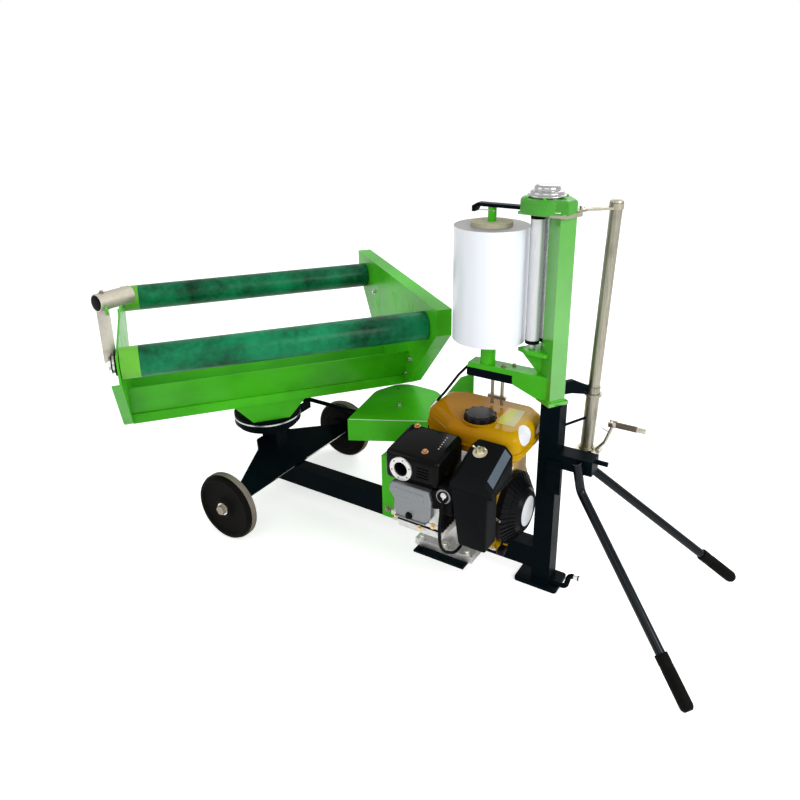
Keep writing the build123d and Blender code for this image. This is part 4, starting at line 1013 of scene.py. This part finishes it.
# Air cleaner: black moulded housing with a brass wing nut on its sloping lid and a grey trim
# strip on the lid's bevel. A ridge marks where the lid meets the intake.
cleaner_black = moulded("cleaner_black", (0.0036, 0.0040, 0.0044), 0.42)
lid_way = Vector((0, -0.042, 0.104)).normalized()
lid_front = -0.240
lid_bevel = 0.017
lid = slab((-0.128, lid_front, 0.333), (-0.032, -0.136, 0.409))
lid = trim(lid, (-0.080, lid_front, 0.366), lid_way)
for sign, side in ((-1, -0.128), (1, -0.032)):
    bevel_spot = (side - sign * lid_bevel, lid_front, 0.366)
    lid = trim(lid, bevel_spot, lid_way + Vector((sign, 0, 0)))
lid = soften(lid, 0.005, 4)
intake = slab((-0.125, lid_front, 0.205), (-0.042, -0.186, 0.340))
intake = trim(intake, (-0.125, lid_front, 0.333), (-0.130, 0, -0.020))
intake = soften(intake, 0.006, 4)
neck = soften(slab((-0.112, -0.196, 0.270), (-0.072, -0.150, 0.336)), 0.003)
cleaner_shell = settle(merge([lid, intake, neck]), "cleaner_shell", cleaner_black, "base")
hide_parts("air_cleaner")
carburettor_body = block(
    "carburettor_body", (-0.120, -0.192, 0.232), (-0.078, -0.160, 0.300), 0.004, fins_black
)
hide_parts("carburettor")
nut_spot = Vector((-0.0920, -0.1700, 0.3940))
wing_brass = metal("wing_brass", (0.62, 0.56, 0.40), 0.3)
lathe(
    "wing_nut_seat",
    (
        (0.002, 0.0),
        (0.0150, 0.0),
        (0.0155, 0.0014),
        (0.0100, 0.0028),
        (0.0070, 0.0080),
        (0.002, 0.0088),
    ),
    nut_spot,
    lid_way,
    wing_brass,
    "base",
    segments=36,
)
wings = []
for way in (-1, 0, 1):
    wing = soften(slab((-0.0028, -0.0018, 0.0), (0.0028, 0.0018, 0.0165)), 0.0011)
    wing.matrix_world = (
        Matrix.Translation(nut_spot + lid_way * 0.003)
        @ lid_way.to_track_quat("Z", "Y").to_matrix().to_4x4()
        @ Matrix.Translation((0.0055 * way, 0, 0))
        @ Matrix.Rotation(math.radians(34 * way), 4, "Y")
    )
    wings.append(wing)
settle(merge(wings), "wing_nut", wing_brass, "base")
trim_grey = moulded("trim_grey", (0.075, 0.095, 0.120), 0.5)


def sticker(name, corners, out, thick, finish):
    """A thin four-sided plate on the base: its corners in order, pushed out of a flat face."""
    bpy.ops.object.select_all(action="DESELECT")
    bpy.ops.mesh.primitive_plane_add(size=1)
    patch = bpy.context.object
    gap = Vector(out).normalized() * 0.0001
    first, second, third, fourth = corners
    for vertex, corner in zip(patch.data.vertices, (first, second, fourth, third)):
        vertex.co = Vector(corner) + gap
    shell = patch.modifiers.new("shell", "SOLIDIFY")
    shell.thickness = thick
    shell.offset = 1
    bpy.ops.object.modifier_apply(modifier="shell")
    bpy.ops.object.mode_set(mode="EDIT")
    bpy.ops.mesh.select_all(action="SELECT")
    bpy.ops.mesh.normals_make_consistent(inside=False)
    bpy.ops.object.mode_set(mode="OBJECT")
    return settle(soften(patch, 0.3 * thick, 1), name, finish, "base")


sticker(
    "cleaner_trim",
    [
        (-0.0475, -0.2280, 0.3692),
        (-0.0345, -0.2280, 0.3552),
        (-0.0345, -0.1450, 0.3888),
        (-0.0475, -0.1450, 0.4027),
    ],
    (1, 0, 1),
    0.0006,
    trim_grey,
)
block(
    "cleaner_ridge", (-0.1288, -0.2408, 0.3340), (-0.0312, -0.1352, 0.3375), 0.0012, cleaner_black
)
grooves = [
    soften(slab((-0.0325, -0.2280, height), (-0.0313, -0.1420, height + 0.0015)), 0.0005, 1)
    for height in (0.3400, 0.3440)
]
settle(merge(grooves), "cleaner_grooves", cleaner_black, "base")
rod("choke_lever", (-0.07, -0.163, 0.25), (-0.042, -0.169, 0.242), 0.0024, bright_steel, "base", 12)

# Fuel tank and blower housing: pressed sheet in warm yellow enamel. The tank has a scalloped
# black cap in a raised ring, and two blank labels.
yellow_enamel = enamel(
    "yellow_enamel", (0.49, 0.28, 0.002), 0.002, 0.06, shine=0.06, matt=0.05
)


def darkened_to_amber(finish, yellow_end, amber_end):
    """Darkens the paint to amber between two places along X, most towards -X."""
    shader = finish.node_tree.nodes["Principled BSDF"]
    place = place_in(finish.node_tree)
    cloudy = place.noise(12.0, 4.0)
    amber_share = (place.part("X") + (cloudy - 0.5) * 0.03).spread(yellow_end, amber_end, 0.85)
    amber = (0.300, 0.120, 0.001, 1)
    feed(shader, "Base Color", amber_share.mix(unplug(shader, "Base Color"), amber))
    return finish


coat(["fuel_tank", "blower_housing"], darkened_to_amber(yellow_enamel, -0.040, -0.150))
cap_black = moulded("cap_black", (0.003, 0.003, 0.003), 0.22, shine=0.15)
coat(["tank_cap"], cap_black)
cap_middle = Vector((-0.144, -0.066, 0.0))
scallop_profile = (
    (0.002, 0.0),
    (0.0058, 0.0),
    (0.0058, 0.0135),
    (0.0035, 0.0148),
    (0.001, 0.0150),
)
scallop_count = 10
scallop_circle = 0.0305
scallops = []
for step in range(scallop_count):
    angle = math.radians(360 / scallop_count * step)
    away = Vector((math.cos(angle), math.sin(angle), 0)) * scallop_circle
    spot = cap_middle + away + Vector((0, 0, 0.4153))
    scallop = lathe("scallop", scallop_profile, spot, (0, 0, 1), segments=20)
    scallops.append(soften(scallop, 0.0003, 1))
settle(merge(scallops), "cap_scallops", cap_black, "base")
ring("cap_ring", 0.0375, 0.0415, 0.4140, 0.4175, cap_middle, (0, 0, 1), yellow_enamel, "base")


def label_finish(start, end):
    """A blank printed label between two places along X: a red line, a lime field, a paler end."""
    finish, shader, place = new_finish("label_lime")
    fade = place.noise(90.0, 4.0)
    tone = (place.part("X").spread(start, end) + (fade - 0.5) * 0.02).ramp(
        (0.00, (0.55, 0.10, 0.01, 1)),
        (0.07, (0.60, 0.14, 0.01, 1)),
        (0.09, (0.52, 0.46, 0.10, 1)),
        (0.13, (0.46, 0.42, 0.02, 1)),
        (0.58, (0.42, 0.44, 0.02, 1)),
        (0.64, (0.40, 0.38, 0.16, 1)),
        (1.00, (0.44, 0.38, 0.14, 1)),
    )
    feed(shader, "Base Color", tone)
    feed(shader, "Roughness", 0.35 + fade * 0.1)
    return finish


sticker(
    "tank_label",
    [
        (-0.1060, -0.0670, 0.4150),
        (-0.0610, -0.0680, 0.4150),
        (-0.0710, 0.0180, 0.4150),
        (-0.1140, 0.0160, 0.4150),
    ],
    (0, 0, 1),
    0.0004,
    label_finish(-0.112, -0.066),
)
label_white = moulded("label_white", (0.60, 0.62, 0.64), 0.35, deep=0.05)
badge_spot = Vector((-0.0285, -0.0755, 0.4045))
badge_way = Vector((0.60, -0.70, 0.33)).normalized()
oval = lathe(
    "tank_badge",
    ((0.0008, 0.0), (0.0045, 0.0), (0.0085, 0.0), (0.0125, 0.0), (0.0165, 0.0), (0.0195, 0.0)),
    badge_spot + badge_way * 0.03,
    badge_way,
    segments=40,
)
oval.scale = (0.98, 1.10, 1)
wrap = oval.modifiers.new("wrap", "SHRINKWRAP")
wrap.target = nodes["fuel_tank"]
wrap.wrap_method = "PROJECT"
wrap.use_project_z = True
wrap.use_negative_direction = True
wrap.use_positive_direction = False
wrap.offset = 0.0005
bpy.ops.object.modifier_apply(modifier="wrap")
settle(oval, "tank_badge", label_white, "base")
bolts(
    "housing_screws",
    [
        (-0.072, -0.118, 0.292),
        (-0.072, 0.026, 0.318),
        (-0.072, -0.128, 0.140),
        (-0.072, 0.036, 0.150),
    ],
    (1, 0, 0),
    0.0042,
    0.005,
    bright_steel,
    "base",
)
block(
    "throttle_plate", (-0.0715, -0.0900, 0.2880), (-0.0690, -0.0430, 0.3060), 0.0010, bare_steel
)

# Recoil starter: black moulded drum whose ribbed cone has a glossy ring and a blank white disc.
# A pull grip hangs beside it on its rope.
starter_black = moulded("starter_black", (0.0030, 0.0033, 0.0040), 0.22, shine=0.07)
coat(["recoil_starter"], starter_black)
crank = Vector((0.0, -0.050, 0.207))
rib_count = 40
cone_slant = math.atan2(0.031, 0.023)
ribs = []
for step in range(rib_count):
    rib = slab((-0.0185, -0.0011, -0.0006), (0.0185, 0.0011, 0.0024))
    rib.matrix_world = (
        Matrix.Translation(crank)
        @ Matrix.Rotation(math.radians(360 / rib_count * step), 4, "X")
        @ Matrix.Translation((-0.0465, 0, 0.0685))
        @ Matrix.Rotation(cone_slant, 4, "Y")
    )
    ribs.append(rib)
settle(merge(ribs), "starter_ribs", starter_black, "base")
ring("starter_ring", 0.0640, 0.0668, -0.0480, -0.0440, crank, (1, 0, 0), cleaner_black, "base")
lathe(
    "starter_disc",
    ((0.002, -0.0300), (0.0345, -0.0300), (0.0352, -0.0285), (0.0345, -0.0272), (0.002, -0.0270)),
    crank,
    (1, 0, 0),
    label_white,
    "base",
    segments=64,
)
block("pull_grip", (-0.0600, -0.1450, 0.1360), (-0.0420, -0.1180, 0.1520), 0.005, starter_black, 3)
rod("pull_rope", (-0.056, -0.125, 0.150), (-0.056, -0.108, 0.168), 0.0028, cord_black, "base", 12)

# Column of the film dispenser with its gearbox: green enamel, a weld bead around its foot, bolts
# on its top plate and a chrome dome of turned rings.
column_green = enamel(
    "column_green", (0.060, 0.34, 0.020), 0.012, 0.12, shine=0.5, lacquer=1.0, matt=0.1
)
coat(["column"], column_green)
gearbox_green = enamel("gearbox_green", (0.055, 0.28, 0.030), 0.03, 0.3, patchy=0.2)
coat(["gearbox"], gearbox_green)
coat(["stretch_bracket"], green_enamel)
column_middle = Vector((-0.006, 0, 0))
column_turn = Matrix.Rotation(math.radians(-35), 3, "Z")
for index in range(4):
    side_turn = column_turn @ Matrix.Rotation(math.radians(90 * index), 3, "Z")
    start = column_middle + side_turn @ Vector((-0.019, -0.0195, 0.4710))
    end = column_middle + side_turn @ Vector((0.019, -0.0195, 0.4710))
    rod(f"column_weld_{index + 1}", start, end, 0.0024, green_enamel, "base", 12)
chrome = metal("chrome", (0.46, 0.46, 0.46), 0.16)
coat(["gearbox_dome"], chrome)
gearbox_middle = Vector((-0.042, 0, 0))
lathe(
    "dome_rings",
    (
        (0.0300, 0.9005),
        (0.0365, 0.9005),
        (0.0380, 0.9018),
        (0.0385, 0.9035),
        (0.0380, 0.9052),
        (0.0362, 0.9066),
        (0.0340, 0.9072),
        (0.0338, 0.9092),
        (0.0325, 0.9118),
        (0.0300, 0.9134),
        (0.0270, 0.9140),
        (0.0240, 0.9140),
        (0.0240, 0.9005),
        (0.0300, 0.9005),
    ),
    gearbox_middle,
    (0, 0, 1),
    chrome,
    "base",
    hollow=True,
)
bolt_circle = 0.0430
bolt_spots = []
for angle in (-75, -15, 45, 105, 165, 225):
    turn = math.radians(angle)
    away = Vector((math.cos(turn), math.sin(turn), 0)) * bolt_circle
    bolt_spots.append(gearbox_middle + away + Vector((0, 0, 0.8995)))
bolts("gearbox_bolts", bolt_spots, (0, 0, 1), 0.0035, 0.004, green_enamel, "base")

# Stretch rollers: a smooth one and a knurled one in aluminium, with black caps. They stand close
# together between two green brackets on the column.
roller_smooth = metal(
    "roller_smooth", (0.66, 0.67, 0.69), 0.52, scale=(60.0, 60.0, 3.0), streak=0.08
)
coat(["stretch_roller_near"], roller_smooth)


def knurl_finish():
    """Knurled aluminium: small diamonds stand up all over it; their pale tops and dark hollows are
    painted highlight and shade.
    """
    finish, shader, place = new_finish("roller_knurled")
    cells = place.node(
        "ShaderNodeTexVoronoi", {"Vector": place, "Scale": 330.0}, give="Distance"
    )
    worn = place.noise(40.0, 5.0)
    tone = (cells * 0.7 + worn * 0.3).ramp(
        (0.2, (0.62, 0.63, 0.65, 1)), (0.7, (0.92, 0.93, 0.95, 1))
    )
    feed(shader, "Base Color", tone)
    feed(shader, "Metallic", 0.55 + worn * 0.2)
    feed(shader, "Roughness", 0.28 + cells * 0.2)
    emboss(shader, cells, 0.8, 0.0012)
    return finish


coat(["stretch_roller_far"], knurl_finish())
for side, x, y in (("near", -0.057, -0.002), ("far", -0.040, 0.026)):
    for level, bottom, top in (("low", 0.5895, 0.5975), ("high", 0.8565, 0.8642)):
        ring(
            f"stretch_cap_{side}_{level}",
            0.0130,
            0.0153,
            bottom,
            top,
            (x, y, 0),
            (0, 0, 1),
            seal_black,
            f"stretch_roller_{side}",
        )

# Arms and spindle that hold the film roll: green plate with brown bolts on a dark bar, a dark
# flat arm above, and a wire clip through the spindle's top.
coat(["lower_arm", "film_spindle"], green_enamel)
coat(["arm_bar", "upper_arm"], dark_enamel)
coat(["tension_rods"], zinc)
bolts(
    "arm_bolts",
    [(-0.1176, -0.0087, 0.523), (-0.100, 0.0100, 0.523)],
    (0, 0, 1),
    0.0040,
    0.005,
    rusty_steel,
    "base",
)
clip_bend = (-0.1740, -0.0100, 0.8660)
for name, end in (
    ("spindle_clip", (-0.1520, -0.0060, 0.8640)),
    ("clip_tail", (-0.1850, -0.0150, 0.8655)),
):
    rod(name, clip_bend, end, 0.0012, bright_steel, "base", 10)


# Film roll: smooth white stretch film wound on a card core. Its ends show the greyish edges of
# the film's layers.
def film_finish(middle, half_width):
    """White film: faint streaks down its side, and fine grey rings on its ends."""
    finish, shader, place = new_finish("film_white")
    away = place.node(
        "ShaderNodeVectorMath", {0: place, 1: middle}, operation="SUBTRACT"
    )
    along = away.part("X")
    across = away.part("Y")
    level = away.part("Z")
    reach = place.work_out("POWER", along * along + across * across, 0.5)
    ring_rate = 2600
    ring_sway = 4
    wave = reach * ring_rate + place.noise(3.0) * ring_sway
    rings = place.node("ShaderNodeMath", {0: wave}, operation="SINE")
    streaks = place.stretch((26.0, 26.0, 0.6)).noise(1.6, 3.0)
    side = streaks.ramp((0.3, (0.74, 0.77, 0.83, 1)), (0.7, (0.79, 0.82, 0.87, 1)))
    end = (rings * 0.25 + 0.5).ramp((0.3, (0.20, 0.19, 0.18, 1)), (0.7, (0.31, 0.30, 0.29, 1)))
    at_end = level * level > half_width * half_width
    feed(shader, "Base Color", at_end.mix(side, end))
    feed(shader, "Roughness", 0.22 + at_end * 0.25)
    emboss(shader, streaks * (1 - at_end) + rings * at_end * 0.2, 0.12, 0.001)
    return finish


coat(["film_roll"], film_finish((-0.160, 0, 0.7085), 0.12485))
card_brown = moulded("card_brown", (0.36, 0.34, 0.24), 0.7, grain=120.0, shine=0.1)
coat(["roll_core"], card_brown)

# Lever tube beside the column: yellow-zinc tube in a sleeve, on a foot plate, with a strap that
# bolts to the gearbox and whose lip runs around the column's top plate. A dark arched stay and a
# thin link steady it.
tube_zinc = metal(
    "tube_zinc",
    (0.42, 0.40, 0.32),
    0.30,
    scale=(90.0, 90.0, 1.2),
    streak=0.2,
    stain=(0.16, 0.13, 0.08, 1),
    stained=0.35,
    deep=0.4,
)
coat(["lever_tube"], tube_zinc)
coat(["tube_strap", "lever_foot"], zinc)
coat(["tube_stays"], dark_enamel)
bolts(
    "strap_bolts",
    [(-0.0060, -0.0330, 0.8765), (0.0210, 0.0300, 0.8765)],
    (0, 0, 1),
    0.0058,
    0.007,
    bare_steel,
    "base",
)
strap_lips = []
plate_corners = ((0.0285, 0.0115), (0.0115, -0.0352), (-0.0220, -0.0352))
for start, end in zip(plate_corners, plate_corners[1:]):
    reach = Vector(end) - Vector(start)
    lip = slab((0, -0.0010, 0.8655), (reach.length, 0.0010, 0.8740))
    lip.matrix_world = Matrix.Translation((*start, 0)) @ Matrix.Rotation(
        math.atan2(reach.y, reach.x), 4, "Z"
    )
    strap_lips.append(soften(lip, 0.0006, 1))
settle(merge(strap_lips), "strap_lip", zinc, "base")
lathe(
    "tube_cap",
    (
        (0.002, 0.0),
        (0.0125, 0.0),
        (0.0140, 0.0015),
        (0.0130, 0.0050),
        (0.0080, 0.0078),
        (0.002, 0.0086),
    ),
    (0.072, 0.088, 0.8840),
    (0, 0, 1),
    zinc,
    "base",
    segments=40,
)
bolts("stay_bolt", [(0.0390, 0.0700, 0.4720)], (0.6, -0.8, 0.1), 0.0045, 0.005, brass, "base")
ring("tube_weld", 0.0130, 0.0172, 0.3262, 0.3305, (0.052, 0.088, 0), (0, 0, 1), zinc, "base")

# Hand lever: a bent rod of plated steel that ends in a small clevis, with a short cross wire.
# A brown bar is pinned in the clevis.
rod_zinc = metal("rod_zinc", (0.62, 0.60, 0.52), 0.28, stained=0.3)
coat(["hand_lever"], rod_zinc)
rod("lever_wire", (0.083, 0.088, 0.383), (0.105, 0.088, 0.376), 0.0016, bright_steel, "base", 12)
bronze = metal("bronze", (0.12, 0.095, 0.075), 0.34, stained=0.3)
rod("lever_bar", (0.1060, 0.0880, 0.3980), (0.1600, 0.0880, 0.3980), 0.0068, bronze, "base")
clevis = [
    soften(slab((0.0975, start, 0.3925), (0.1145, start + 0.0035, 0.4050)), 0.0015)
    for start in (0.0800, 0.0925)
]
settle(merge(clevis), "lever_clevis", rod_zinc, "base")
bolts("clevis_pin", [(0.1040, 0.0800, 0.3990)], (0, -1, 0), 0.0030, 0.003, bronze, "base")

# Push handles: glossy dark tubes on a bracket behind the post, with ribbed black rubber grips
# whose ends are rounded.
gloss_enamel = enamel(
    "gloss_enamel", (0.0022, 0.0048, 0.0070), 0.002, 0.05, shine=0.16, matt=0.03
)
coat(["handles"], gloss_enamel)
coat(["handle_bracket"], dark_enamel)
for name, sign in (("bracket_bolts", -1), ("bracket_bolts_far", 1)):
    spot = (0.0745, sign * 0.0355, 0.332)
    bolts(name, [spot], (0, sign, 0), 0.0055, 0.006, dark_enamel, "base")
bolts(
    "bracket_screws",
    [(0.0300, -0.0262, 0.3250), (0.0300, -0.0262, 0.2700)],
    (0, -1, 0),
    0.0028,
    0.003,
    dark_enamel,
    "base",
)
grip_black = moulded("grip_black", (0.0036, 0.0035, 0.0031), 0.5, grain=180.0)
grip_profile = (
    (0.0020, 0.0000),
    (0.0070, 0.0004),
    (0.0105, 0.0020),
    (0.0127, 0.0050),
    (0.0134, 0.0095),
    (0.0134, 0.0760),
    (0.0128, 0.0775),
    (0.0134, 0.0790),
    (0.0128, 0.0840),
    (0.0134, 0.0860),
    (0.0134, 0.1030),
    (0.0125, 0.1050),
    (0.0095, 0.1050),
)
grip_parts = []
for knee, end in (
    (Vector((0.084, -0.036, 0.286)), Vector((0.378, -0.232, 0.014))),
    (Vector((0.084, 0.035, 0.306)), Vector((0.383, 0.214, 0.014))),
):
    grip_parts.append(lathe("grip", grip_profile, end, knee - end, segments=40))
rubber_grips = settle(merge(grip_parts), "rubber_grips", grip_black, "base")
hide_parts("grips")
